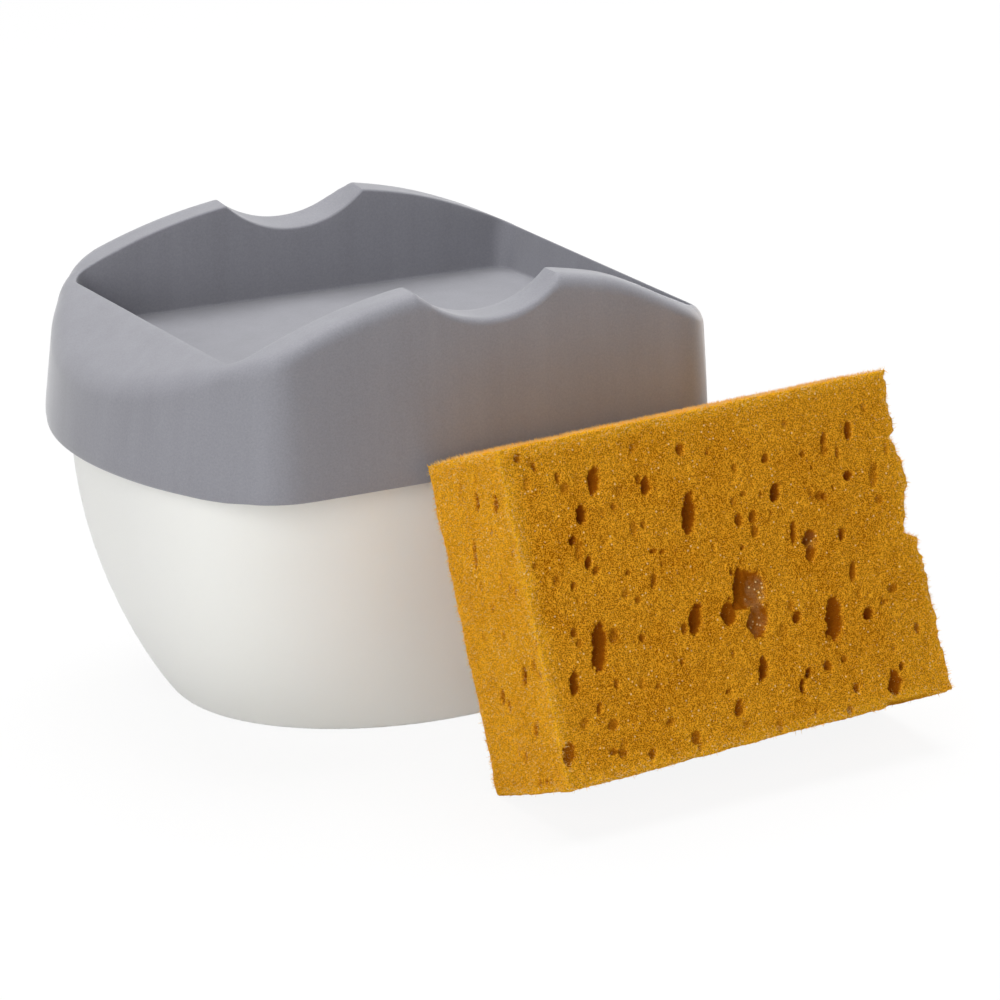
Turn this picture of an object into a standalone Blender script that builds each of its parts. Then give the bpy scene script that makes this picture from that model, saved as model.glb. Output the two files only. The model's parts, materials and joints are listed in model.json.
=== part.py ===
"""Soap dispenser with a sponge tray: pressing the tray pumps soap up from the tub below it."""
import math

import bmesh
import bpy
from mathutils import Matrix, Vector

# Clearances and running gaps
SEAT_GAP = 0.0003
SLIDE_GAP = 0.0003
CUT_OVERRUN = 0.002
WELD_DEPTH = 0.0008
MERGE_DISTANCE = 0.00001

# Sponge tray, a pocket in the lid that takes the sponge flat
TRAY_HALF_LENGTH = 0.0520
TRAY_HALF_WIDTH = 0.0390
TRAY_CORNER_RADIUS = 0.0040
TRAY_END_SLOPE = 0.0010
TRAY_DEPTH = 0.0223
TRAY_FLOOR_FILLET = 0.0012
TRAY_EDGE_FILLET = 0.0009

# Lid, an arched rim and a skirt round the tray
LID_WALL = 0.0022
LID_END_RIM = 0.0166
LID_SIDE_RIM = 0.0105
LID_END_RADIUS = 0.0701
LID_CORNER_RADIUS = 0.0131
LID_DRAFT = math.radians(5.0)
LID_TOP_FILLET = 0.0033
LID_HEM_FILLET = 0.0006
ARCH_RADIUS = 0.1175
SCOOP_HALF_WIDTH = 0.0161
SCOOP_DEPTH = 0.0076
SCOOP_CORNER_BLEND = 0.0010
SKIRT_OVERLAP = 0.0007
CORE_LEAST_GAP = 0.0003
CORE_OPEN_GAP = 0.0010
CORE_FULL_GAP = 0.0032

# Tub, an oval foot that swells to a squarer rim
TUB_HEIGHT = 0.0570
TUB_BULGE_HEIGHT = 0.0557
TUB_WALL = 0.0020
TUB_END_CLEARANCE = 0.0045
TUB_SIDE_CLEARANCE = 0.0024
TUB_FOOT_HALF_LENGTH = 0.0457
TUB_FOOT_HALF_WIDTH = 0.0362
TUB_FOOT_FILLET = 0.0008
TUB_RIM_EXPONENT = 3.25
TUB_FOOT_EXPONENT = 2.03
TUB_BULGE_POWER = 1.98
TUB_BULGE_ROOT = 1.149

# Non-slip pad in the foot
PAD_THICKNESS = 0.0010
PAD_PROUD = 0.0003
PAD_INSET = 0.0040

# Cover that closes the tub and carries the pump
COVER_WALL = 0.0015
COVER_DEPTH = 0.0154
COVER_SKIRT_GAP = 0.0005
COVER_SKIRT_TAPER = 0.0020
COVER_FLOOR_FILLET = 0.0020
GASKET_THICKNESS = 0.0008
GASKET_EDGE = 0.0001

# Threaded neck on the cover
NECK_RADIUS = 0.0130
NECK_BORE = 0.0094
NECK_HEIGHT = 0.0050
THREAD_HEIGHT = 0.0007
THREAD_WIDTH = 0.0012

# Screw collar round the neck
COLLAR_WALL = 0.0020
COLLAR_PLATE = 0.0014
COLLAR_THREAD_GAP = 0.0004
COLLAR_FOOT_GAP = 0.0005
COLLAR_HOLE = 0.0100
COLLAR_RIB_DEPTH = 0.0007
COLLAR_RIBS = 24

# Pump housing with its inlet
HOUSING_RADIUS = 0.0086
HOUSING_BORE = 0.0070
HOUSING_FLANGE_RADIUS = 0.0120
HOUSING_FLANGE = 0.0014
HOUSING_GASKET = 0.0009
HOUSING_GASKET_BORE = 0.0090
TAIL_RADIUS = 0.0046
TAIL_BORE_DEPTH = 0.0050
THROAT_RADIUS = 0.0018
THROAT_LENGTH = 0.0012
BALL_RADIUS = 0.0031
BALL_SEAT_GAP = 0.00015
BALL_SIDE_GAP = 0.0006
BALL_LIFT = 0.0014
SEAT_CONE_HEIGHT = 0.0020
CAGE_LIP_RADIUS = 0.0026
CAGE_LIP = 0.0008

# Dip tube
DIP_RADIUS = 0.0029
DIP_BORE = 0.0019
DIP_FLOOR_GAP = 0.0008
DIP_REACH = 0.0028
DIP_NOTCH = 0.0012

# Insert that guides the stem
INSERT_DEPTH = 0.0040
INSERT_FLANGE_RADIUS = 0.0096
INSERT_FLANGE = 0.0010

# Stem, piston and spring
STEM_RADIUS = 0.0040
STEM_BORE = 0.0022
PISTON_HEIGHT = 0.0040
PISTON_GROOVE = 0.0006
PISTON_SEAT_HEIGHT = 0.0030
PISTON_SEAT_RADIUS = 0.0058
PISTON_SEAT_SOCKET = 0.0018
PISTON_SEAT_BORE = 0.0015
PISTON_NOSE_RADIUS = 0.0036
PISTON_NOSE = 0.0015
SPRING_RADIUS = 0.0050
SPRING_WIRE_RADIUS = 0.0005
SPRING_TURNS = 6
SPRING_END_TURNS = 0.75

# Press travel and the guides that keep the lid square
PRESS_TRAVEL = 0.0090
PRESS_CLEARANCE = 0.0004
GUIDE_OFFSET = 0.0300
GUIDE_LEG_RADIUS = 0.0032
GUIDE_LEG_FOOT = 0.0025
GUIDE_TUBE_WALL = 0.0016
GUIDE_TUBE_RISE = 0.0120

# Pump head, nozzle and valve in the tray
HEAD_FLANGE_RADIUS = 0.0140
HEAD_FLANGE = 0.0022
HEAD_SOCKET_WALL = 0.0022
HEAD_NECK_RADIUS = 0.0056
HEAD_NECK_RISE = 0.0024
HEAD_THROAT_RADIUS = 0.0025
HEAD_THROAT = 0.0014
HEAD_VALVE_BORE = 0.0042
NOZZLE_RADIUS = 0.0090
NOZZLE_GASKET = 0.0006
NOZZLE_GASKET_INSET = 0.0006
NOZZLE_ROOF = 0.0014
NOZZLE_HOLE = 0.0020
NOZZLE_EDGE = 0.0010
VALVE_FLANGE = 0.0008
VALVE_RADIUS = 0.0038
VALVE_TIP_RADIUS = 0.0016
VALVE_WALL = 0.0007

# Sponge that leans on the lid's skirt
SPONGE_LENGTH = 0.0900
SPONGE_THICKNESS = 0.0279
SPONGE_REST_RISE = 0.00405
SPONGE_RIGHT_RISE = 0.0024
SPONGE_TOP_SHIFT = 0.0018
SPONGE_EDGE_RADIUS = 0.0012
SPONGE_LEAN = math.radians(20.9)
SPONGE_TURN = math.radians(1.56)
SPONGE_FOOT_X = -0.0152
SPONGE_REST_CLEARANCE = 0.00205
SPONGE_NOTCH_RADIUS = 0.0050
SPONGE_NOTCH_DEPTH = 0.0022

# Largest pores on the sponge's front: shares of its length and height, then half sizes
PORE_PLACE_SHARES = [
    (0.43, 0.69), (0.15, 0.39), (0.37, 0.39), (0.53, 0.41), (0.74, 0.29),
    (0.65, 0.69), (0.71, 0.53), (0.20, 0.83), (0.53, 0.18), (0.85, 0.69),
]
PORE_HALF_WIDTH = 0.0014
PORE_HALF_HEIGHT = 0.0036
PORE_DEPTH = 0.0035
TORN_PORE = 3
TORN_PORE_SHARE = 2.2

# Facets. A quarter of the lid is split in shares of the scoop, then in even steps
SCOOP_STATION_SHARES = (0.0, 0.2, 0.4, 0.58, 0.74, 0.87, 0.95, 1.0, 1.04, 1.12)
SIDE_STEPS = 5
CORNER_STEPS = 6
TRAY_CORNER_STEPS = 5
END_STEPS = 5
OUTLINE_FACETS = 72
TURNED_FACETS = 32
SMALL_FACETS = 24
SMOOTH_ANGLE = math.radians(35.0)

# Heights, from the table upwards
FOOT_Z = PAD_PROUD
TUB_FLOOR_Z = FOOT_Z + TUB_WALL
COVER_FLANGE_Z = TUB_HEIGHT + SEAT_GAP + GASKET_THICKNESS + SEAT_GAP
COVER_TOP_Z = COVER_FLANGE_Z + COVER_WALL
DECK_TOP_Z = COVER_TOP_Z - COVER_DEPTH
DECK_UNDER_Z = DECK_TOP_Z - COVER_WALL
NECK_TOP_Z = DECK_TOP_Z + NECK_HEIGHT
HOUSING_FLANGE_Z = NECK_TOP_Z + SEAT_GAP + HOUSING_GASKET + SEAT_GAP
HOUSING_TOP_Z = HOUSING_FLANGE_Z + HOUSING_FLANGE
COLLAR_TOP_Z = HOUSING_TOP_Z + SEAT_GAP + COLLAR_PLATE
TRAY_UNDER_Z = COVER_TOP_Z + PRESS_TRAVEL + PRESS_CLEARANCE
TRAY_FLOOR_Z = TRAY_UNDER_Z + LID_WALL
ARCH_PEAK_Z = TRAY_FLOOR_Z + TRAY_DEPTH
LID_EDGE_Z = TUB_HEIGHT - SKIRT_OVERLAP

# Sponge, as tall as it takes to rest against the lid just above its lower edge
SPONGE_REST_Z = LID_EDGE_Z + SPONGE_REST_RISE
SPONGE_HEIGHT = SPONGE_REST_Z / math.cos(SPONGE_LEAN)
SPONGE_FOOT_GAP = SPONGE_REST_Z * math.tan(SPONGE_LEAN) + SPONGE_REST_CLEARANCE

# Lid outline at its lower edge
LID_HALF_LENGTH = TRAY_HALF_LENGTH + LID_END_RIM
LID_HALF_WIDTH = TRAY_HALF_WIDTH + LID_SIDE_RIM
END_CENTRE_X = LID_HALF_LENGTH - LID_END_RADIUS
CORNER_CENTRE_Y = LID_HALF_WIDTH - LID_CORNER_RADIUS
CORNER_CENTRE_X = END_CENTRE_X + math.sqrt(
    (LID_END_RADIUS - LID_CORNER_RADIUS) ** 2 - CORNER_CENTRE_Y ** 2)

# Tub outline at its rim
TUB_RIM_HALF_LENGTH = LID_HALF_LENGTH - LID_WALL - TUB_END_CLEARANCE
TUB_RIM_HALF_WIDTH = LID_HALF_WIDTH - LID_WALL - TUB_SIDE_CLEARANCE

# Pump places that follow the stack
DIP_BOTTOM_Z = TUB_FLOOR_Z + DIP_FLOOR_GAP
TAIL_BOTTOM_Z = DIP_BOTTOM_Z + DIP_REACH
TAIL_BORE = DIP_RADIUS + SEAT_GAP
THROAT_BOTTOM_Z = TAIL_BOTTOM_Z + TAIL_BORE_DEPTH
SEAT_BOTTOM_Z = THROAT_BOTTOM_Z + THROAT_LENGTH
CAGE_BORE = BALL_RADIUS + BALL_SIDE_GAP
SEAT_CONE_SLANT = math.hypot(CAGE_BORE - THROAT_RADIUS, SEAT_CONE_HEIGHT)
BALL_CENTRE_Z = SEAT_BOTTOM_Z + (
    (BALL_RADIUS + BALL_SEAT_GAP) * SEAT_CONE_SLANT - THROAT_RADIUS * SEAT_CONE_HEIGHT
) / (CAGE_BORE - THROAT_RADIUS)
CAGE_LIP_Z = BALL_CENTRE_Z + BALL_RADIUS + BALL_LIFT + SEAT_GAP
SPRING_SEAT_Z = CAGE_LIP_Z + CAGE_LIP
INSERT_BOTTOM_Z = HOUSING_TOP_Z - INSERT_DEPTH
PISTON_TOP_Z = INSERT_BOTTOM_Z - SEAT_GAP
PISTON_BOTTOM_Z = PISTON_TOP_Z - PISTON_HEIGHT
PISTON_SEAT_TOP_Z = PISTON_BOTTOM_Z - SEAT_GAP
PISTON_SEAT_BOTTOM_Z = PISTON_SEAT_TOP_Z - PISTON_SEAT_HEIGHT
PISTON_NOSE_Z = PISTON_SEAT_BOTTOM_Z - PISTON_NOSE
STEM_BOTTOM_Z = PISTON_SEAT_TOP_Z - PISTON_SEAT_SOCKET + SEAT_GAP
HEAD_BOTTOM_Z = COLLAR_TOP_Z + PRESS_TRAVEL + PRESS_CLEARANCE
HEAD_FLANGE_TOP_Z = TRAY_UNDER_Z - SEAT_GAP
HEAD_NECK_TOP_Z = TRAY_FLOOR_Z + HEAD_NECK_RISE
HEAD_VALVE_FLOOR_Z = TRAY_FLOOR_Z + SEAT_GAP
HEAD_SOCKET_TOP_Z = HEAD_VALVE_FLOOR_Z - HEAD_THROAT
STEM_TOP_Z = HEAD_SOCKET_TOP_Z - SEAT_GAP
TRAY_HOLE_RADIUS = HEAD_NECK_RADIUS + SEAT_GAP
GUIDE_LEG_BOTTOM_Z = DECK_TOP_Z + GUIDE_LEG_FOOT
GUIDE_BORE = GUIDE_LEG_RADIUS + SLIDE_GAP
GUIDE_BORE_BOTTOM_Z = GUIDE_LEG_BOTTOM_Z - PRESS_TRAVEL - PRESS_CLEARANCE

PARTS = "soap_dispenser"
CUTTERS = "cutters"


def clear_scene():
    """Empty the file and open the two collections."""
    for item in list(bpy.data.objects):
        bpy.data.objects.remove(item, do_unlink=True)
    for name in (PARTS, CUTTERS):
        group = bpy.data.collections.new(name)
        bpy.context.scene.collection.children.link(group)


def make_material(name, colour, roughness, metallic=0.0):
    """A plain surface finish."""
    material = bpy.data.materials.new(name)
    material.use_nodes = True
    shader = material.node_tree.nodes["Principled BSDF"]
    shader.inputs["Base Color"].default_value = (*colour, 1.0)
    shader.inputs["Roughness"].default_value = roughness
    shader.inputs["Metallic"].default_value = metallic
    material.diffuse_color = (*colour, 1.0)
    return material


def link(item, collection=PARTS):
    """Put an object in one of the collections."""
    bpy.data.collections[collection].objects.link(item)
    return item


def shade(item):
    """Smooth shading with crisp edges on a plain mesh."""
    item.data.shade_smooth()
    item.data.set_sharp_from_angle(angle=SMOOTH_ANGLE)
    return item


def dress(item, material, carrier=None):
    """Give a finished piece its material and the empty that carries it."""
    item.data.materials.append(material)
    if carrier is not None:
        item.parent = carrier
    return item


def carrier(name, place):
    """An empty on a joint's axis."""
    item = bpy.data.objects.new(name, None)
    item.location = place
    item.empty_display_size = STEM_RADIUS
    return link(item)


def mesh_object(name, mesh_builder, collection=PARTS):
    """Wrap a bmesh in a named object with its faces pointing out."""
    mesh_builder.normal_update()
    mesh = bpy.data.meshes.new(name)
    mesh_builder.to_mesh(mesh)
    mesh_builder.free()
    return link(bpy.data.objects.new(name, mesh), collection)


def loft(name, rings, closed=False, cap_first=False, cap_last=False, collection=PARTS):
    """Skin a list of rings that have the same number of points."""
    builder = bmesh.new()
    rows = [[builder.verts.new(point) for point in ring] for ring in rings]
    pairs = list(zip(rows, rows[1:]))
    if closed:
        pairs.append((rows[-1], rows[0]))
    for lower, upper in pairs:
        for here in range(len(lower)):
            after = (here + 1) % len(lower)
            builder.faces.new((lower[here], lower[after], upper[after], upper[here]))
    if cap_first:
        builder.faces.new(rows[0][::-1])
    if cap_last:
        builder.faces.new(rows[-1])
    bmesh.ops.remove_doubles(builder, verts=builder.verts, dist=MERGE_DISTANCE)
    if closed or (cap_first and cap_last):
        bmesh.ops.recalc_face_normals(builder, faces=builder.faces)
    return mesh_object(name, builder, collection)


def turned(name, profile, facets=TURNED_FACETS, ring=True, collection=PARTS):
    """Turn an outline of (radius, height) pairs about the upright axis.

    A ring's outline closes on itself. Any other outline starts and ends on the axis.
    """
    builder = bmesh.new()
    points = [builder.verts.new((radius, 0.0, height)) for radius, height in profile]
    for start, end in zip(points, points[1:]):
        builder.edges.new((start, end))
    if ring:
        builder.edges.new((points[-1], points[0]))
    item = mesh_object(name, builder, collection)
    screw = item.modifiers.new("turn", "SCREW")
    screw.axis = "Z"
    screw.steps = facets
    screw.render_steps = facets
    screw.use_merge_vertices = True
    screw.merge_threshold = MERGE_DISTANCE
    screw.use_smooth_shade = True
    return item


def flat_outline(name, outlines, bottom, top, collection=PARTS):
    """Extrude one or more closed outlines between two heights; an inner one is a hole."""
    curve = bpy.data.curves.new(name, "CURVE")
    curve.dimensions = "2D"
    curve.fill_mode = "BOTH"
    curve.extrude = (top - bottom) / 2
    for outline in outlines:
        spline = curve.splines.new("POLY")
        spline.points.add(len(outline) - 1)
        for point, (x, y) in zip(spline.points, outline):
            point.co = (x, y, 0.0, 1.0)
        spline.use_cyclic_u = True
    raw = link(bpy.data.objects.new(name + "_outline", curve), collection)
    raw.location.z = (top + bottom) / 2
    return curve_to_mesh(raw, name, collection)


def curve_to_mesh(raw, name, collection=PARTS):
    """Replace a curve object by its welded mesh."""
    bpy.context.view_layer.update()
    evaluated = raw.evaluated_get(bpy.context.evaluated_depsgraph_get())
    mesh = bpy.data.meshes.new_from_object(evaluated)
    item = bpy.data.objects.new(name, mesh)
    item.matrix_world = raw.matrix_world
    bpy.data.objects.remove(raw, do_unlink=True)
    builder = bmesh.new()
    builder.from_mesh(mesh)
    bmesh.ops.remove_doubles(builder, verts=builder.verts, dist=MERGE_DISTANCE)
    bmesh.ops.recalc_face_normals(builder, faces=builder.faces)
    builder.to_mesh(mesh)
    builder.free()
    mesh.name = name
    return link(item, collection)


def post(name, radius, bottom, top, x=0.0, y=0.0, facets=SMALL_FACETS):
    """An upright cylinder used as a cutter or as a joined boss."""
    builder = bmesh.new()
    bmesh.ops.create_cone(
        builder, cap_ends=True, segments=facets, radius1=radius, radius2=radius,
        depth=top - bottom, matrix=Matrix.Translation((x, y, (top + bottom) / 2)))
    return mesh_object(name, builder, CUTTERS)


def combine(item, tool, operation):
    """Cut or join one object with another, which stays out of the render."""
    tool.hide_render = True
    tool.display_type = "WIRE"
    step = item.modifiers.new(tool.name, "BOOLEAN")
    step.operation = operation
    step.object = tool
    step.solver = "EXACT"
    return item


def superellipse(half_length, half_width, exponent, count=OUTLINE_FACETS):
    """A rounded outline between an ellipse and a rectangle."""
    points = []
    for step in range(count):
        turn = math.tau * step / count
        across, along = math.cos(turn), math.sin(turn)
        points.append((
            math.copysign(half_length * abs(across) ** (2 / exponent), across),
            math.copysign(half_width * abs(along) ** (2 / exponent), along)))
    return points


def at_height(outline, height):
    """Lift a flat outline to one height."""
    return [(x, y, height) for x, y in outline]


def quarter_steps(count):
    """Angles that split a quarter turn evenly, both ends included."""
    return [math.pi / 2 * step / count for step in range(count + 1)]


def tub_outline(height, inset=0.0):
    """The tub's outer outline at a height."""
    share = min(1.0, height / TUB_BULGE_HEIGHT)
    swell = (1.0 - (1.0 - share) ** TUB_BULGE_POWER) ** (1.0 / TUB_BULGE_ROOT)
    half_length = TUB_FOOT_HALF_LENGTH + (TUB_RIM_HALF_LENGTH - TUB_FOOT_HALF_LENGTH) * swell
    half_width = TUB_FOOT_HALF_WIDTH + (TUB_RIM_HALF_WIDTH - TUB_FOOT_HALF_WIDTH) * swell
    exponent = TUB_FOOT_EXPONENT + (TUB_RIM_EXPONENT - TUB_FOOT_EXPONENT) * swell
    return superellipse(half_length - inset, half_width - inset, exponent)


def make_tub(material):
    """Reservoir tub: an open lofted skin with a wall, and a recess for the pad."""
    rings = []
    for angle in quarter_steps(2):
        height = FOOT_Z + TUB_FOOT_FILLET * (1.0 - math.cos(angle))
        inset = TUB_FOOT_FILLET * (1.0 - math.sin(angle))
        rings.append(at_height(tub_outline(height, inset), height))
    first = FOOT_Z + TUB_FOOT_FILLET
    levels = 9
    for level in range(1, levels + 1):
        height = first + (TUB_BULGE_HEIGHT - first) * level / levels
        rings.append(at_height(tub_outline(height), height))
    rings.append(at_height(tub_outline(TUB_HEIGHT), TUB_HEIGHT))
    tub = shade(loft("reservoir_tub", rings, cap_first=True))
    wall = tub.modifiers.new("wall", "SOLIDIFY")
    wall.thickness = TUB_WALL
    wall.offset = -1.0
    wall.use_even_offset = True
    recess = flat_outline(
        "pad_recess", [pad_outline(-SEAT_GAP)], FOOT_Z - CUT_OVERRUN,
        PAD_THICKNESS + SEAT_GAP, CUTTERS)
    combine(tub, recess, "DIFFERENCE")
    return dress(tub, material)


def pad_outline(inset=0.0):
    """The non-slip pad's outline, drawn in from the foot."""
    edge = PAD_INSET + inset
    return superellipse(
        TUB_FOOT_HALF_LENGTH - edge, TUB_FOOT_HALF_WIDTH - edge, TUB_FOOT_EXPONENT)


def make_pad(material):
    """Flat pad that the dispenser stands on."""
    return dress(flat_outline("base_pad", [pad_outline()], 0.0, PAD_THICKNESS), material)


def top_height(x):
    """Height of the lid's top over a place along its length: an arch with a scoop."""
    reach = min(abs(x), ARCH_RADIUS)
    arch = ARCH_PEAK_Z - ARCH_RADIUS + math.sqrt(ARCH_RADIUS ** 2 - reach ** 2)
    corner = ARCH_PEAK_Z - ARCH_RADIUS + math.sqrt(ARCH_RADIUS ** 2 - SCOOP_HALF_WIDTH ** 2)
    bottom = ARCH_PEAK_Z - SCOOP_DEPTH
    rise = corner - bottom
    radius = (SCOOP_HALF_WIDTH ** 2 + rise ** 2) / (2 * rise)
    if reach >= radius:
        return arch
    scoop = bottom + radius - math.sqrt(radius ** 2 - reach ** 2)
    blend = max(SCOOP_CORNER_BLEND - abs(arch - scoop), 0.0) / SCOOP_CORNER_BLEND
    return min(arch, scoop) - blend ** 2 * SCOOP_CORNER_BLEND / 4


def tray_distance(x, y, half_length, half_width, radius):
    """Signed distance from a point to the tray's rounded rectangle."""
    across = abs(x) - (half_length - radius)
    along = abs(y) - (half_width - radius)
    outside = math.hypot(max(across, 0.0), max(along, 0.0))
    return outside + min(max(across, along), 0.0) - radius


def direction(centre, through):
    """The angle at which a point is seen from a centre."""
    return math.atan2(through[1] - centre[1], through[0] - centre[0])


def quarter_rays():
    """Rays to the lid's outline over one quarter, from the side's middle to the end's.

    A ray is an arc's centre, a direction and the arc's radius. The corner's arc takes the
    steep rays and the end's arc the flat ones, and they meet in the ray at the join.
    """
    flat_x = TRAY_HALF_LENGTH - TRAY_CORNER_RADIUS
    flat_y = TRAY_HALF_WIDTH - TRAY_CORNER_RADIUS
    reach = SCOOP_STATION_SHARES[-1] * SCOOP_HALF_WIDTH
    places = [share * SCOOP_HALF_WIDTH for share in SCOOP_STATION_SHARES]
    for step in range(1, SIDE_STEPS + 1):
        places.append(reach + (CORNER_CENTRE_X - reach) * step / SIDE_STEPS)
    rays = [(Vector((x, 0.0)), Vector((0.0, 1.0)), LID_HALF_WIDTH) for x in places]

    end_centre = (END_CENTRE_X, 0.0)
    corner_centre = (CORNER_CENTRE_X, CORNER_CENTRE_Y)
    join = direction(end_centre, corner_centre)
    turns = [
        math.pi / 2 + (join - math.pi / 2) * step / CORNER_STEPS
        for step in range(1, CORNER_STEPS + 1)]
    through = [
        (flat_x + TRAY_CORNER_RADIUS * math.sin(angle), flat_y + TRAY_CORNER_RADIUS * math.cos(angle))
        for angle in quarter_steps(TRAY_CORNER_STEPS)]
    through += [
        (TRAY_HALF_LENGTH, flat_y * (1.0 - step / END_STEPS)) for step in range(1, END_STEPS + 1)]
    for point in through:
        turn = direction(end_centre, point)
        turns.append(turn if turn <= join else direction(corner_centre, point))
    for turn in sorted(turns, reverse=True):
        away = Vector((math.cos(turn), math.sin(turn)))
        if turn < join:
            rays.append((Vector(end_centre), away, LID_END_RADIUS))
        else:
            rays.append((Vector(corner_centre), away, LID_CORNER_RADIUS))
    return rays


def lid_stations():
    """Rays round the whole lid, one for each station."""
    quarter = quarter_rays()
    stations = []
    for flip_x, flip_y, order in ((1, 1, -1), (-1, 1, 1), (-1, -1, -1), (1, -1, 1)):
        for centre, away, radius in quarter[::order][:-1]:
            stations.append((
                Vector((centre.x * flip_x, centre.y * flip_y)),
                Vector((away.x * flip_x, away.y * flip_y)), radius))
    return stations


def outline_point(station, inset):
    """A point of the lid's outline, drawn in by an inset."""
    centre, away, radius = station
    return centre + away * (radius - inset)


def tray_point(station, half_length, half_width, radius):
    """Where a station's ray crosses the tray's rounded rectangle."""
    centre, away, reach = station
    near, far = 0.0, reach
    for _ in range(40):
        middle = (near + far) / 2
        place = centre + away * middle
        if tray_distance(place.x, place.y, half_length, half_width, radius) < 0.0:
            near = middle
        else:
            far = middle
    return centre + away * near


def lid_draft(height):
    """How far the lid's wall has drawn in at a height."""
    return (height - LID_EDGE_Z) * math.tan(LID_DRAFT)


def wall_top_inset(station, fillet):
    """The wall's inset where the rounding of the top begins."""
    inset = 0.0
    for _ in range(4):
        inset = lid_draft(top_height(outline_point(station, inset).x) - fillet)
    return inset


def rim_column(station):
    """One station's points, from the skirt's hem over the rim to the tray's hole and back."""
    column = []

    def add(place, height):
        column.append((place.x, place.y, height))

    tray_top = tray_point(station, TRAY_HALF_LENGTH, TRAY_HALF_WIDTH, TRAY_CORNER_RADIUS)
    crest = outline_point(station, wall_top_inset(station, LID_TOP_FILLET))
    width = (crest - tray_top).length
    fillet = min(LID_TOP_FILLET, width * 0.6)
    edge_fillet = min(TRAY_EDGE_FILLET, width * 0.25)
    inset = wall_top_inset(station, fillet)

    add(outline_point(station, LID_HEM_FILLET), LID_EDGE_Z)
    add(outline_point(station, lid_draft(LID_EDGE_Z + LID_HEM_FILLET)), LID_EDGE_Z + LID_HEM_FILLET)
    for angle in quarter_steps(4):
        place = outline_point(station, inset + fillet * (1.0 - math.cos(angle)))
        add(place, top_height(place.x) - fillet * (1.0 - math.sin(angle)))
    away = station[1]
    for angle in quarter_steps(2):
        place = tray_top + away * edge_fillet * (1.0 - math.sin(angle))
        add(place, top_height(place.x) - edge_fillet * (1.0 - math.cos(angle)))
    for angle in quarter_steps(2):
        inner = TRAY_FLOOR_FILLET * (1.0 - math.cos(angle))
        place = tray_point(
            station, TRAY_HALF_LENGTH - TRAY_END_SLOPE - inner, TRAY_HALF_WIDTH - inner,
            TRAY_CORNER_RADIUS - inner)
        add(place, TRAY_FLOOR_Z + TRAY_FLOOR_FILLET * (1.0 - math.sin(angle)))
    turn = tray_top.normalized()
    add(turn * TRAY_HOLE_RADIUS, TRAY_FLOOR_Z)
    add(turn * TRAY_HOLE_RADIUS, TRAY_UNDER_Z)

    skirt = outline_point(station, lid_draft(TRAY_UNDER_Z) + LID_WALL)
    shell = tray_point(
        station, TRAY_HALF_LENGTH + LID_WALL, TRAY_HALF_WIDTH + LID_WALL,
        TRAY_CORNER_RADIUS + LID_WALL)
    gap = (skirt - shell).dot(away)
    if gap < CORE_LEAST_GAP:
        shell = skirt - away * CORE_LEAST_GAP
    opening = min(1.0, max(0.0, (gap - CORE_OPEN_GAP) / (CORE_FULL_GAP - CORE_OPEN_GAP)))
    opening = opening * opening * (3.0 - 2.0 * opening)
    add(shell, TRAY_UNDER_Z)
    roof = TRAY_UNDER_Z + (top_height(shell.x) - LID_WALL - TRAY_UNDER_Z) * opening
    add(shell, roof)
    outer = outline_point(station, lid_draft(roof) + LID_WALL)
    if (outer - shell).dot(away) < CORE_LEAST_GAP:
        outer = shell + away * CORE_LEAST_GAP
    add(outer, TRAY_UNDER_Z + (top_height(outer.x) - LID_WALL - TRAY_UNDER_Z) * opening)
    add(outline_point(station, LID_WALL), LID_EDGE_Z)
    return column


def make_lid(material, carried_by):
    """Lid: one moulded shell with its tray, arched rim, scoops, skirt and two guide legs."""
    columns = [rim_column(station) for station in lid_stations()]
    rings = [list(ring) for ring in zip(*columns)]
    lid = shade(loft("press_lid", rings, closed=True))
    for side in (-1, 1):
        leg = post(
            "guide_leg_" + ("left" if side < 0 else "right"), GUIDE_LEG_RADIUS,
            GUIDE_LEG_BOTTOM_Z, TRAY_UNDER_Z + WELD_DEPTH, x=side * GUIDE_OFFSET)
        combine(lid, leg, "UNION")
    return dress(lid, material, carried_by)


def cover_outline(inset):
    """The cover's outline, measured in from the tub's rim."""
    return superellipse(
        TUB_RIM_HALF_LENGTH - inset, TUB_RIM_HALF_WIDTH - inset, TUB_RIM_EXPONENT)


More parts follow.
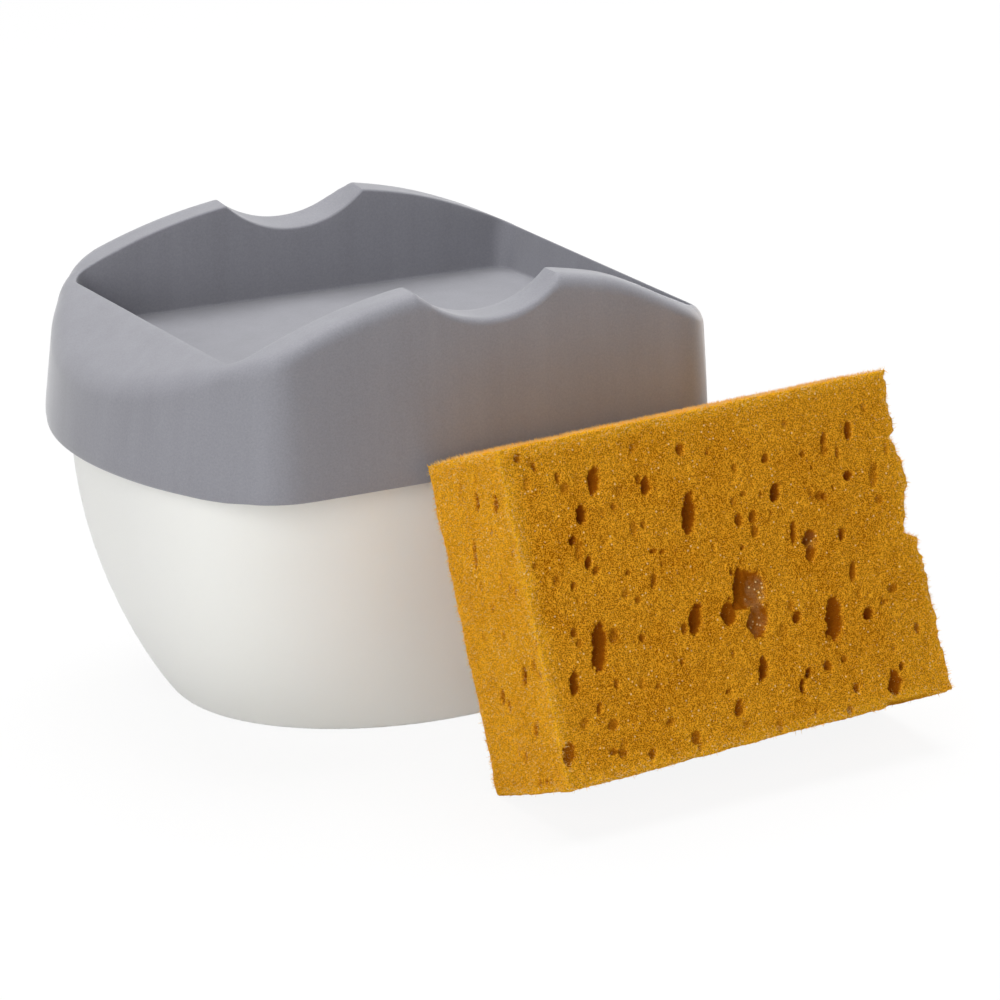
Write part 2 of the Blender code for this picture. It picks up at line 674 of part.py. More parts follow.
def make_cover(material, carried_by):
    """Cover: a dished plate with a flange, a threaded neck and two blind guide tubes."""
    skirt = TUB_WALL + COVER_SKIRT_GAP + COVER_WALL
    rings = [
        at_height(cover_outline(0.0), COVER_TOP_Z),
        at_height(cover_outline(skirt), COVER_TOP_Z),
    ]
    for angle in quarter_steps(2):
        drop = COVER_FLOOR_FILLET * (1.0 - math.sin(angle))
        draw = COVER_FLOOR_FILLET * (1.0 - math.cos(angle))
        rings.append(at_height(cover_outline(skirt + COVER_SKIRT_TAPER + draw), DECK_TOP_Z + drop))
    cover = shade(loft("reservoir_cover", rings, cap_last=True))
    wall = cover.modifiers.new("wall", "SOLIDIFY")
    wall.thickness = COVER_WALL
    wall.offset = -1.0
    wall.use_even_offset = True
    combine(cover, neck_with_thread(), "UNION")
    for side in (-1, 1):
        name = "left" if side < 0 else "right"
        tube = post(
            "guide_tube_" + name, GUIDE_BORE + GUIDE_TUBE_WALL, GUIDE_BORE_BOTTOM_Z - COVER_WALL,
            DECK_TOP_Z + GUIDE_TUBE_RISE, x=side * GUIDE_OFFSET)
        combine(cover, tube, "UNION")
    for side in (-1, 1):
        name = "left" if side < 0 else "right"
        bore = post(
            "guide_bore_" + name, GUIDE_BORE, GUIDE_BORE_BOTTOM_Z,
            DECK_TOP_Z + GUIDE_TUBE_RISE + CUT_OVERRUN, x=side * GUIDE_OFFSET)
        combine(cover, bore, "DIFFERENCE")
    opening = post(
        "neck_bore", NECK_BORE, DECK_UNDER_Z - CUT_OVERRUN, NECK_TOP_Z + CUT_OVERRUN,
        facets=TURNED_FACETS)
    combine(cover, opening, "DIFFERENCE")
    return dress(cover, material, carried_by)


def neck_with_thread():
    """Solid neck with two thread turns, shown as rings."""
    crest = NECK_RADIUS + THREAD_HEIGHT
    pitch = NECK_HEIGHT / 2
    profile = [(0.0, NECK_TOP_Z), (NECK_RADIUS, NECK_TOP_Z)]
    for turn in range(2):
        middle = NECK_TOP_Z - pitch * (turn + 0.5)
        profile += [
            (NECK_RADIUS, middle + THREAD_WIDTH / 2), (crest, middle + THREAD_WIDTH / 6),
            (crest, middle - THREAD_WIDTH / 6), (NECK_RADIUS, middle - THREAD_WIDTH / 2)]
    foot = DECK_TOP_Z - WELD_DEPTH
    profile += [(NECK_RADIUS, foot), (0.0, foot)]
    return turned("threaded_neck", profile, ring=False, collection=CUTTERS)


def make_cover_gasket(material, carried_by):
    """Flat seal on the tub's rim, under the cover's flange."""
    bottom = TUB_HEIGHT + SEAT_GAP
    ring = [cover_outline(GASKET_EDGE), cover_outline(TUB_WALL - GASKET_EDGE)]
    item = flat_outline("cover_gasket", ring, bottom, bottom + GASKET_THICKNESS)
    return dress(item, material, carried_by)


def make_collar(material, carried_by):
    """Screw collar: a ribbed ring whose top plate holds the housing's flange down."""
    thread_bore = NECK_RADIUS + THREAD_HEIGHT + COLLAR_THREAD_GAP
    outer = thread_bore + COLLAR_WALL
    outline = []
    for rib in range(COLLAR_RIBS):
        for share, depth in ((0.0, 0.0), (0.25, 0.0), (0.5, 1.0), (0.75, 1.0)):
            turn = math.tau * (rib + share) / COLLAR_RIBS
            radius = outer - COLLAR_RIB_DEPTH * depth
            outline.append((radius * math.cos(turn), radius * math.sin(turn)))
    collar = flat_outline("screw_collar", [outline], DECK_TOP_Z + COLLAR_FOOT_GAP, COLLAR_TOP_Z)
    plate_under = COLLAR_TOP_Z - COLLAR_PLATE
    bore = [
        (0.0, COLLAR_TOP_Z + CUT_OVERRUN), (COLLAR_HOLE, COLLAR_TOP_Z + CUT_OVERRUN),
        (COLLAR_HOLE, plate_under), (thread_bore, plate_under),
        (thread_bore, DECK_TOP_Z - CUT_OVERRUN), (0.0, DECK_TOP_Z - CUT_OVERRUN)]
    combine(collar, turned("collar_bore", bore, ring=False, collection=CUTTERS), "DIFFERENCE")
    return dress(collar, material, carried_by)


def make_housing_gasket(material, carried_by):
    """Flat seal between the neck and the housing's flange."""
    bottom = NECK_TOP_Z + SEAT_GAP
    top = bottom + HOUSING_GASKET
    item = turned("housing_gasket", [
        (HOUSING_FLANGE_RADIUS, top), (HOUSING_FLANGE_RADIUS, bottom),
        (HOUSING_GASKET_BORE, bottom), (HOUSING_GASKET_BORE, top)])
    return dress(item, material, carried_by)


def make_housing(material, carried_by):
    """Pump housing: flange, cylinder, ball cage, valve seat and tail in one moulding."""
    item = turned("pump_housing", [
        (HOUSING_FLANGE_RADIUS, HOUSING_TOP_Z), (HOUSING_FLANGE_RADIUS, HOUSING_FLANGE_Z),
        (HOUSING_RADIUS, HOUSING_FLANGE_Z), (HOUSING_RADIUS, CAGE_LIP_Z),
        (CAGE_BORE + (HOUSING_RADIUS - HOUSING_BORE), SEAT_BOTTOM_Z + SEAT_CONE_HEIGHT),
        (TAIL_RADIUS, SEAT_BOTTOM_Z), (TAIL_RADIUS, TAIL_BOTTOM_Z),
        (TAIL_BORE, TAIL_BOTTOM_Z), (TAIL_BORE, THROAT_BOTTOM_Z),
        (THROAT_RADIUS, THROAT_BOTTOM_Z), (THROAT_RADIUS, SEAT_BOTTOM_Z),
        (CAGE_BORE, SEAT_BOTTOM_Z + SEAT_CONE_HEIGHT), (CAGE_BORE, CAGE_LIP_Z),
        (CAGE_LIP_RADIUS, CAGE_LIP_Z), (CAGE_LIP_RADIUS, SPRING_SEAT_Z),
        (HOUSING_BORE, SPRING_SEAT_Z), (HOUSING_BORE, HOUSING_TOP_Z)])
    return dress(item, material, carried_by)


def make_ball(material, carried_by):
    """Check ball on its seat."""
    builder = bmesh.new()
    bmesh.ops.create_uvsphere(builder, u_segments=16, v_segments=10, radius=BALL_RADIUS)
    ball = shade(mesh_object("inlet_ball", builder))
    return dress(ball, material, carried_by)


def make_insert(material, carried_by):
    """Insert in the housing's mouth, which guides the stem and stops the piston."""
    outer = HOUSING_BORE - SEAT_GAP
    bore = STEM_RADIUS + SLIDE_GAP
    flange_bottom = HOUSING_TOP_Z + SEAT_GAP
    flange_top = flange_bottom + INSERT_FLANGE
    item = turned("pump_insert", [
        (INSERT_FLANGE_RADIUS, flange_top), (INSERT_FLANGE_RADIUS, flange_bottom),
        (outer, flange_bottom), (outer, INSERT_BOTTOM_Z), (bore, INSERT_BOTTOM_Z),
        (bore, flange_top)], facets=SMALL_FACETS)
    return dress(item, material, carried_by)


def make_dip_tube(material, carried_by):
    """Dip tube with a notch at its foot, so that it can't seal on the floor."""
    top = THROAT_BOTTOM_Z - SEAT_GAP
    tube = turned("dip_tube", [
        (DIP_RADIUS, top), (DIP_RADIUS, DIP_BOTTOM_Z), (DIP_BORE, DIP_BOTTOM_Z),
        (DIP_BORE, top)], facets=SMALL_FACETS)
    builder = bmesh.new()
    bmesh.ops.create_cube(builder, size=1.0)
    notch = mesh_object("dip_notch", builder, CUTTERS)
    notch.scale = (2 * (DIP_RADIUS + CUT_OVERRUN), DIP_BORE, 2 * DIP_NOTCH)
    notch.location.z = DIP_BOTTOM_Z
    combine(tube, notch, "DIFFERENCE")
    return dress(tube, material, carried_by)


def make_stem(material, carried_by):
    """Hollow pump stem."""
    item = turned("pump_stem", [
        (STEM_RADIUS, STEM_TOP_Z), (STEM_RADIUS, STEM_BOTTOM_Z), (STEM_BORE, STEM_BOTTOM_Z),
        (STEM_BORE, STEM_TOP_Z)], facets=SMALL_FACETS)
    return dress(item, material, carried_by)


def make_piston(material, carried_by):
    """Piston seal with a lip at each end."""
    outer = HOUSING_BORE - SLIDE_GAP
    bore = STEM_RADIUS + SEAT_GAP
    lip = PISTON_HEIGHT / 4
    item = turned("piston", [
        (outer, PISTON_TOP_Z), (outer, PISTON_TOP_Z - lip),
        (outer - PISTON_GROOVE, PISTON_TOP_Z - lip * 3 / 2),
        (outer - PISTON_GROOVE, PISTON_BOTTOM_Z + lip * 3 / 2),
        (outer, PISTON_BOTTOM_Z + lip), (outer, PISTON_BOTTOM_Z), (bore, PISTON_BOTTOM_Z),
        (bore, PISTON_TOP_Z)], facets=SMALL_FACETS)
    return dress(item, material, carried_by)


def make_piston_seat(material, carried_by):
    """Foot of the stem, which carries the piston and centres the spring."""
    socket = STEM_RADIUS + SEAT_GAP
    socket_floor = PISTON_SEAT_TOP_Z - PISTON_SEAT_SOCKET
    item = turned("piston_seat", [
        (PISTON_SEAT_RADIUS, PISTON_SEAT_TOP_Z), (PISTON_SEAT_RADIUS, PISTON_SEAT_BOTTOM_Z),
        (PISTON_NOSE_RADIUS, PISTON_SEAT_BOTTOM_Z), (PISTON_NOSE_RADIUS, PISTON_NOSE_Z),
        (PISTON_SEAT_BORE, PISTON_NOSE_Z), (PISTON_SEAT_BORE, socket_floor),
        (socket, socket_floor), (socket, PISTON_SEAT_TOP_Z)], facets=SMALL_FACETS)
    return dress(item, material, carried_by)


def make_spring(material, carried_by):
    """Return spring: a coil with closed ends between the cage and the piston seat."""
    bottom = SPRING_SEAT_Z + SEAT_GAP + SPRING_WIRE_RADIUS
    top = PISTON_SEAT_BOTTOM_Z - SEAT_GAP - SPRING_WIRE_RADIUS
    closed_pitch = 2 * SPRING_WIRE_RADIUS + SEAT_GAP * 2
    active = SPRING_TURNS - 2 * SPRING_END_TURNS
    active_rise = top - bottom - 2 * SPRING_END_TURNS * closed_pitch
    points_per_turn = 9
    count = SPRING_TURNS * points_per_turn + 1
    points = []
    for step in range(count):
        turns = step / points_per_turn
        lower = min(turns, SPRING_END_TURNS)
        upper = max(0.0, turns - SPRING_TURNS + SPRING_END_TURNS)
        middle = turns - lower - upper
        height = bottom + (lower + upper) * closed_pitch + active_rise * middle / active
        turn = math.tau * turns
        points.append((SPRING_RADIUS * math.cos(turn), SPRING_RADIUS * math.sin(turn), height))
    least = min(
        math.dist(points[here], points[there]) - 2 * SPRING_WIRE_RADIUS
        for here in range(count) for there in range(here + points_per_turn // 2, count))
    print("return_spring least gap to itself, m:", round(least, 5))
    curve = bpy.data.curves.new("return_spring", "CURVE")
    curve.dimensions = "3D"
    curve.bevel_depth = SPRING_WIRE_RADIUS
    curve.bevel_resolution = 1
    curve.use_fill_caps = True
    spline = curve.splines.new("POLY")
    spline.points.add(count - 1)
    for point, place in zip(spline.points, points):
        point.co = (*place, 1.0)
    raw = link(bpy.data.objects.new("return_spring_path", curve))
    spring = curve_to_mesh(raw, "return_spring")
    spring.data.shade_smooth()
    return dress(spring, material, carried_by)


def make_head(material, carried_by):
    """Pump head: flange under the tray, socket for the stem and a neck through the tray."""
    socket = STEM_RADIUS + SEAT_GAP
    socket_outer = socket + HEAD_SOCKET_WALL
    flange_bottom = HEAD_FLANGE_TOP_Z - HEAD_FLANGE
    item = turned("pump_head", [
        (HEAD_NECK_RADIUS, HEAD_NECK_TOP_Z), (HEAD_NECK_RADIUS, HEAD_FLANGE_TOP_Z),
        (HEAD_FLANGE_RADIUS, HEAD_FLANGE_TOP_Z), (HEAD_FLANGE_RADIUS, flange_bottom),
        (socket_outer, flange_bottom), (socket_outer, HEAD_BOTTOM_Z), (socket, HEAD_BOTTOM_Z),
        (socket, HEAD_SOCKET_TOP_Z), (HEAD_THROAT_RADIUS, HEAD_SOCKET_TOP_Z),
        (HEAD_THROAT_RADIUS, HEAD_VALVE_FLOOR_Z), (HEAD_VALVE_BORE, HEAD_VALVE_FLOOR_Z),
        (HEAD_VALVE_BORE, HEAD_NECK_TOP_Z)])
    return dress(item, material, carried_by)


def make_nozzle_gasket(material, carried_by):
    """Ring seal under the nozzle."""
    bottom = TRAY_FLOOR_Z + SEAT_GAP
    top = bottom + NOZZLE_GASKET
    outer = NOZZLE_RADIUS - NOZZLE_GASKET_INSET
    inner = HEAD_NECK_RADIUS + SEAT_GAP
    item = turned("nozzle_gasket", [(outer, top), (outer, bottom), (inner, bottom), (inner, top)])
    return dress(item, material, carried_by)


def make_nozzle(material, carried_by):
    """Outlet nozzle: a low domed cap over the head's neck with the soap hole."""
    bottom = TRAY_FLOOR_Z + SEAT_GAP + NOZZLE_GASKET + SEAT_GAP
    inner = HEAD_NECK_RADIUS + SEAT_GAP
    roof = HEAD_NECK_TOP_Z + SEAT_GAP
    top = roof + NOZZLE_ROOF
    profile = [(NOZZLE_HOLE, top)]
    rim = NOZZLE_RADIUS - NOZZLE_EDGE
    for angle in quarter_steps(3):
        profile.append((
            rim + NOZZLE_EDGE * math.sin(angle), top - NOZZLE_EDGE * (2.0 - math.cos(angle))))
    profile += [(NOZZLE_RADIUS, bottom), (inner, bottom), (inner, roof), (NOZZLE_HOLE, roof)]
    return dress(turned("outlet_nozzle", profile), material, carried_by)


def make_valve(material, carried_by):
    """Soft outlet valve in the head's neck: a flange with a domed tip."""
    bottom = HEAD_VALVE_FLOOR_Z + SEAT_GAP
    flange_top = bottom + VALVE_FLANGE
    tip = HEAD_NECK_TOP_Z + NOZZLE_ROOF / 2
    hollow = VALVE_TIP_RADIUS - VALVE_WALL
    item = turned("outlet_valve", [
        (0.0, tip), (VALVE_TIP_RADIUS / 2, tip), (VALVE_TIP_RADIUS, tip - VALVE_TIP_RADIUS / 2),
        (VALVE_TIP_RADIUS, flange_top), (VALVE_RADIUS, flange_top), (VALVE_RADIUS, bottom),
        (hollow, bottom), (hollow, tip - VALVE_WALL * 2), (0.0, tip - VALVE_WALL)],
        facets=SMALL_FACETS, ring=False)
    return dress(item, material, carried_by)


def make_sponge(material, carried_by):
    """Sponge: a hand-cut block with rounded edges, its largest pores and a torn notch.

    Its own frame has x along its length, z up its height and y towards the lid. The block
    is a little out of square: it leans to the left, and its front rises to the right.
    """
    builder = bmesh.new()
    bmesh.ops.create_cube(builder, size=1.0)
    half = Vector((0.5, -0.5, 0.5))
    for corner in builder.verts:
        share = corner.co + half
        corner.co = (
            share.x * SPONGE_LENGTH - share.z * SPONGE_TOP_SHIFT,
            share.y * SPONGE_THICKNESS, share.z * SPONGE_HEIGHT)
        if share.x > 0.5 and (share.z > 0.5 or share.y < -0.5):
            corner.co.z += SPONGE_RIGHT_RISE
    sponge = mesh_object("sponge", builder)
    edge = sponge.modifiers.new("edge", "BEVEL")
    edge.width = SPONGE_EDGE_RADIUS
    edge.segments = 2
    edge.limit_method = "NONE"
    for number, (along, up) in enumerate(PORE_PLACE_SHARES):
        size = TORN_PORE_SHARE if number == TORN_PORE else 1.0
        pit = bmesh.new()
        bmesh.ops.create_icosphere(pit, subdivisions=2, radius=1.0)
        cutter = mesh_object("pore_" + str(number), pit, CUTTERS)
        cutter.scale = (PORE_HALF_WIDTH * size, PORE_DEPTH, PORE_HALF_HEIGHT * size)
        cutter.location = (along * SPONGE_LENGTH, -SPONGE_THICKNESS, up * SPONGE_HEIGHT)
        cutter.parent = sponge
        combine(sponge, cutter, "DIFFERENCE")
    pit = bmesh.new()
    bmesh.ops.create_icosphere(pit, subdivisions=2, radius=SPONGE_NOTCH_RADIUS)
    notch = mesh_object("sponge_notch", pit, CUTTERS)
    notch.location = (
        SPONGE_LENGTH + SPONGE_NOTCH_RADIUS - SPONGE_NOTCH_DEPTH, -SPONGE_THICKNESS,
        SPONGE_HEIGHT / 2)
    notch.parent = sponge
    combine(sponge, notch, "DIFFERENCE")
    sponge.rotation_euler = (-SPONGE_LEAN, 0.0, SPONGE_TURN)
    return dress(sponge, material, carried_by)


def sponge_foot():
    """Where the sponge's back lower edge starts on the table."""
    sink = SPONGE_EDGE_RADIUS * (math.cos(SPONGE_LEAN) + math.sin(SPONGE_LEAN) - 1.0)
    return (SPONGE_FOOT_X, -(LID_HALF_WIDTH + SPONGE_FOOT_GAP), -sink)


def main():
    """Build every piece and hang it on its carrier."""
    clear_scene()
    white = make_material("milky_plastic", (0.79, 0.77, 0.72), 0.35)
    grey = make_material("matte_grey_plastic", (0.36, 0.36, 0.38), 0.6)
    inner = make_material("white_moulding", (0.80, 0.80, 0.78), 0.4)
    natural = make_material("natural_plastic", (0.74, 0.76, 0.76), 0.3)
    seal = make_material("soft_seal", (0.30, 0.31, 0.33), 0.7)
    valve = make_material("clear_silicone", (0.72, 0.74, 0.75), 0.4)
    steel = make_material("spring_steel", (0.62, 0.61, 0.59), 0.3, 1.0)
    foam = make_material("sponge_foam", (0.62, 0.33, 0.03), 0.9)

    cover_axis = carrier("refill_lift_axis", (0.0, 0.0, DECK_TOP_Z))
    lid_axis = carrier("lid_press_axis", (0.0, 0.0, 0.0))
    ball_axis = carrier("inlet_ball_axis", (0.0, 0.0, BALL_CENTRE_Z))
    sponge_axis = carrier("sponge_lift_axis", sponge_foot())
    lid_axis.parent = cover_axis
    ball_axis.parent = cover_axis
    for child in (lid_axis, ball_axis):
        child.matrix_parent_inverse = Matrix.Translation((0.0, 0.0, -DECK_TOP_Z))

    make_tub(white)
    make_pad(seal)
    for make, material in (
            (make_cover, inner), (make_cover_gasket, seal), (make_collar, inner),
            (make_housing_gasket, seal), (make_housing, natural), (make_insert, inner),
            (make_dip_tube, natural), (make_spring, steel)):
        piece = make(material, cover_axis)
        piece.matrix_parent_inverse = Matrix.Translation((0.0, 0.0, -DECK_TOP_Z))
    make_ball(steel, ball_axis)
    for make, material in (
            (make_lid, grey), (make_head, inner), (make_nozzle_gasket, seal),
            (make_nozzle, inner), (make_valve, valve), (make_stem, natural),
            (make_piston, natural), (make_piston_seat, natural)):
        make(material, lid_axis)
    make_sponge(foam, sponge_axis)
    bpy.context.view_layer.update()


main()
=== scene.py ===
"""Dresses a soap dispenser with a sponge tray, and the sponge that leans on it."""
import itertools
import json
import math

import bmesh
import bpy
import numpy as np
from mathutils import Euler, Matrix, Vector


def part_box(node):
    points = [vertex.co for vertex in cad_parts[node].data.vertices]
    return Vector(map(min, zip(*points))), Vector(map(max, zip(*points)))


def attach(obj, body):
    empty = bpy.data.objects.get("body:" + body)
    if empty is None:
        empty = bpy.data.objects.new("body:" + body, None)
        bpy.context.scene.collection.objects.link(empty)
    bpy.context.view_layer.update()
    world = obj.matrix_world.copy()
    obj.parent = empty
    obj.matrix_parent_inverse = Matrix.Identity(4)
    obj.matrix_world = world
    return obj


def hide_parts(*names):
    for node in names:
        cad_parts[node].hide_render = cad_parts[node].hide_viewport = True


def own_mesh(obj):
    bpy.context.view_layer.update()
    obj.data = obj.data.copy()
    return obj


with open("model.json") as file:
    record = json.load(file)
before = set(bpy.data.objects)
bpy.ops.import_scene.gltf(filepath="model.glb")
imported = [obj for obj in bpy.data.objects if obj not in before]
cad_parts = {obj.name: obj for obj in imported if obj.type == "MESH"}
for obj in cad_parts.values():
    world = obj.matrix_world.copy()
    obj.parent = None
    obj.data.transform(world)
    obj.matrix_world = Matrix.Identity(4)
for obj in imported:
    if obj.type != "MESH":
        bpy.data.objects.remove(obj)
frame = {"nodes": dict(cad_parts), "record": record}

bl_info = {
    "name": "Soap dispenser with sponge tray",
    "version": (1, 0, 0),
    "blender": (4, 5, 0),
    "location": "3D View > Sidebar > Soap dispenser",
    "description": "Builds the lid, tub, pump and sponge of a press-top soap dispenser",
    "category": "Object",
}

MM = 0.001
WELD_DISTANCE = 0.005 * MM
NODE_WELD_DISTANCE = 0.002 * MM
SMOOTH_ANGLE = math.radians(35.0)

# Heights that the frame gives
TUB_TOP_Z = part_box("reservoir_tub")[1].z
TUB_FOOT_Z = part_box("reservoir_tub")[0].z
PAD_TOP_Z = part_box("base_pad")[1].z
COVER_TOP_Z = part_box("reservoir_cover")[1].z
LEG_BOTTOM_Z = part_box("press_lid")[0].z

# Lid sizes that follow the tooling, not the user's choice
LID_DRAFT = math.radians(5.0)
LID_HEM_FILLET = 0.6 * MM
TOP_FILLET_LIMIT = 0.6
SKIRT_OVERLAP = 0.7 * MM
SCOOP_CORNER_BLEND = 0.3 * MM
SCOOP_FILLET_SHARE = 0.5
SCOOP_FILLET_RUN = 2.4 * MM
TRAY_FLOOR_FILLET = 0.6 * MM
TRAY_EDGE_FILLET = 0.5 * MM
TRAY_EDGE_LIMIT = 0.25
TRAY_END_SLOPE = 1.0 * MM
TRAY_HOLE_RADIUS = 5.9 * MM
CORE_LEAST_GAP = 0.3 * MM
CORE_OPEN_GAP = 1.0 * MM
CORE_FULL_GAP = 3.2 * MM
LEG_OFFSET = 30.0 * MM
LEG_RADIUS = 3.2 * MM
LEG_WELD = 0.8 * MM
PRESS_TRAVEL = 9.0 * MM
PRESS_CLEARANCE = 0.4 * MM
LID_EDGE_Z = TUB_TOP_Z - SKIRT_OVERLAP

# Where the photograph departs from the plain lid, as place along the lid and distance in mm:
# the back rim's outer edge rises, the hem's front half drops and the right half of the front
# wall falls short, from inside its face to outside it
BACK_RIM = (
    (-60, 0.3), (-34, 0.65), (-17, 1.0), (-9, 1.7), (0, 2.1), (11, 2.4), (16, 1.4), (30, 0.7),
    (45, 0.1), (55, -0.3), (62, -0.3))
FRONT_HEM = (
    (-68, 0.30), (-67, 0.35), (-64, 0.55), (-60, 0.65), (-58, 0.76), (-55, 0.70), (-52, 0.36),
    (-47, 0.30), (-40, 0.45), (68, 0.43))
FRONT_SHORT = ((0, 0.0), (16, 0.6), (38, 0.6), (50, 1.2))
FRONT_WALL_REGION = (-3.0 * MM, 1.0 * MM)
# How much the two ends give, over what run, and how much of the wall the right end loses
END_REGION = 8.0 * MM
LEFT_END_BULGE = 0.7 * MM
LEFT_BULGE_START = 0.15
RIGHT_END_SHORT = 2.5 * MM
RIGHT_END_THINNED = 0.65
# How the rim drops to the right: at the middle, for each metre to the front, and over what run
RIGHT_DROP = 1.1 * MM
RIGHT_DROP_TILT = 0.020
RIGHT_DROP_REGION = (26.0 * MM, 46.0 * MM)

# Lid facets over a quarter of the outline, and up the wall
SCOOP_STEPS = 35
SCOOP_REACH = 1.25
SIDE_STEPS = 26
CORNER_STEPS = 14
TRAY_CORNER_STEPS = 12
END_STEPS = 28
WALL_LEVELS = 10
FILLET_STEPS = 8
HEM_STEPS = 3
RIM_LEVELS = 6
POST_SEGMENTS = 64
TRAY_SEARCH_STEPS = 36
DRAFT_SEARCH_STEPS = 4

# Tub shape between its foot and its rim
TUB_FOOT_FILLET = 0.8 * MM
TUB_RIM_CLEARANCE = (4.5 * MM, 2.4 * MM)
TUB_BULGE_SHARE = 0.0557 / 0.0570
TUB_BULGE_POWER = 1.98
TUB_BULGE_ROOT = 1.149
TUB_EXPONENTS = (2.03, 3.25)
TUB_STATIONS = 240
TUB_LEVELS = 72
TUB_LEVEL_POWER = 1.35
TUB_FLOOR_LEVELS = 12
PAD_INSET = 4.0 * MM
SEAT_GAP = 0.3 * MM

# Sponge block: how it is cut and how it stands
SPONGE_TOP_SHIFT = 1.8 * MM
SPONGE_RIGHT_RISE = 2.4 * MM
SPONGE_EDGE_RADIUS = 0.45 * MM
SPONGE_LEAN = math.radians(20.9)
SPONGE_TURN = math.radians(1.56)
SPONGE_FOOT = (-0.0152, -0.0746, -0.0001)
SPONGE_STEP = 0.29 * MM

# Pores where the photograph shows them: pixels across and down, half width and half height in
# pixels, and how deep they are and how strong the painted shade inside them is, from 0 to 1
FRONT_PORES = (
    (689.5, 514, 6.8, 19, 1.0), (600, 645, 8, 26, 1.0), (582, 514, 5, 11, 1.0),
    (696, 620, 7.5, 15.5, 0.95), (835, 619, 9, 24, 0.92), (775.5, 493, 5, 10.5, 0.95),
    (765, 669, 5.5, 12.5, 0.9), (575, 684, 5, 12.5, 0.82), (740, 587, 6.5, 20, 1.0),
    (869, 613, 5, 7.5, 0.88), (750, 589, 14, 21, 0.8), (759, 621, 10.5, 19, 0.72),
    (594.5, 481, 6, 16, 0.75), (646, 485, 5, 9.5, 0.75),
    (573, 541, 3.8, 4.6, 0.85), (589, 563, 3.6, 7.4, 0.75), (730, 613, 8, 13, 0.8),
    (798, 617, 5, 6.5, 0.7), (849, 430, 4.3, 10, 0.72), (849, 476, 5, 6.5, 0.78),
    (825, 496, 3, 4, 0.6), (753, 516, 4, 6.5, 0.6), (739, 520, 4, 6.5, 0.6),
    (766, 458, 4.3, 6, 0.6), (794, 532, 3.5, 12, 0.65), (810, 537, 7.5, 8, 0.8),
    (811, 553, 5.5, 9, 0.65), (842, 534, 3.5, 7, 0.7), (809, 672, 3.2, 6, 0.82),
    (803, 685, 3.2, 8, 0.82), (741, 708, 4.6, 9, 0.62), (697, 738, 4.9, 6.5, 0.55),
    (828, 666, 4.3, 6, 0.65), (844.5, 659, 3.8, 3.8, 0.5), (896, 684, 8.5, 16, 0.78),
    (854, 571, 4, 11, 0.6), (569, 755, 6.5, 12, 0.65), (614, 637, 5, 8, 0.5),
    (579, 550, 3.5, 13, 0.4), (565, 488, 4.3, 5, 0.45), (614, 506, 3, 4, 0.5),
    (619, 491, 5.5, 5.5, 0.35), (681, 449, 4.5, 6, 0.6), (634, 446, 7, 4, 0.38),
    (653, 551, 3.5, 3, 0.55), (662, 552, 2.6, 3, 0.5), (628, 572, 3, 3.5, 0.5),
    (557, 581, 4, 5.6, 0.38), (574, 586, 3, 4, 0.55), (625, 594, 4, 5, 0.38),
    (638, 600, 3.5, 4, 0.48), (659, 686, 3, 3, 0.45), (614, 724, 5, 7, 0.5),
    (585, 723, 4, 5.6, 0.42), (671, 722, 5.5, 4, 0.45), (615, 752, 4.3, 4.3, 0.5),
    (627, 753, 2.2, 3.2, 0.5), (729, 692, 2.4, 2.4, 0.55), (747, 725, 3.3, 5.4, 0.4),
    (743, 494, 3.5, 3.5, 0.45), (733, 501, 3, 4, 0.45), (743, 547, 2.5, 3, 0.55),
    (802, 454, 3, 4, 0.5), (785, 423, 3.5, 4, 0.42), (834, 487, 1.8, 4, 0.5),
    (874, 475, 4.5, 14, 0.42), (879, 499, 5, 5.5, 0.4), (893, 588, 5, 5, 0.48),
    (884, 602, 4, 4, 0.42), (783, 632, 6, 9, 0.32), (580, 643, 3.5, 4, 0.45),
    (708, 453, 3, 3.5, 0.42), (518, 458, 4.3, 5.5, 0.55), (535, 566, 3, 3.5, 0.45),
)
LEFT_END_PORES = (
    (476, 502, 4.6, 10.5, 0.7), (494, 502.5, 4.7, 9.5, 0.7), (474, 555, 4.6, 14, 0.55),
    (523.8, 677, 5.6, 11.5, 0.82), (535, 730, 4.2, 9, 0.6), (525, 758, 3.6, 6, 0.5),
    (502, 698, 4.2, 9.5, 0.6), (515, 592, 3.2, 6.5, 0.45), (459.5, 489, 3.2, 8, 0.4),
    (533.5, 665, 3.6, 6.5, 0.45), (491, 608, 3.2, 6, 0.45), (490, 532, 2.8, 4.5, 0.5),
)
# Torn skin inside the widest pore: the same places, and how much of it shows
TORN_SKIN = ((757, 591, 10, 20, 0.9), (759, 621, 10, 15, 0.6), (812, 540, 7, 9, 0.4))
TORN_SKIN_DEPTH = 0.45
TORN_SKIN_RIM = 0.5
PIXEL = (1.0 / 4.3 * MM, 1.0 / 5.3 * MM)
PORE_TILT = 0.265
PORE_DEPTH = 2.6 * MM
PORE_RIM = 0.20
PORE_MARGIN = 1.5
FACE_REACH = 0.8 * MM
# Small pores at random: lowest and highest share of the face, half width in mm, stretch, depth
# and tilt. The back has some that are wider and deeper
SMALL_PORES_PER_MM2 = 0.012
SMALL_PORE_PLACES = (0.02, 0.98)
SMALL_PORE_WIDTHS = (0.35, 0.9)
SMALL_PORE_STRETCHES = (1.0, 1.9)
SMALL_PORE_DEPTHS = (0.25, 0.6)
SMALL_PORE_TILTS = (0.0, 0.3)
BACK_PORE_CHANCE = 0.35
BACK_PORE_GROWTH = (1.8, 2.6)
BACK_PORE_DEPTHS = (0.6, 1.0)
BACK_PORE_TILT = 0.2
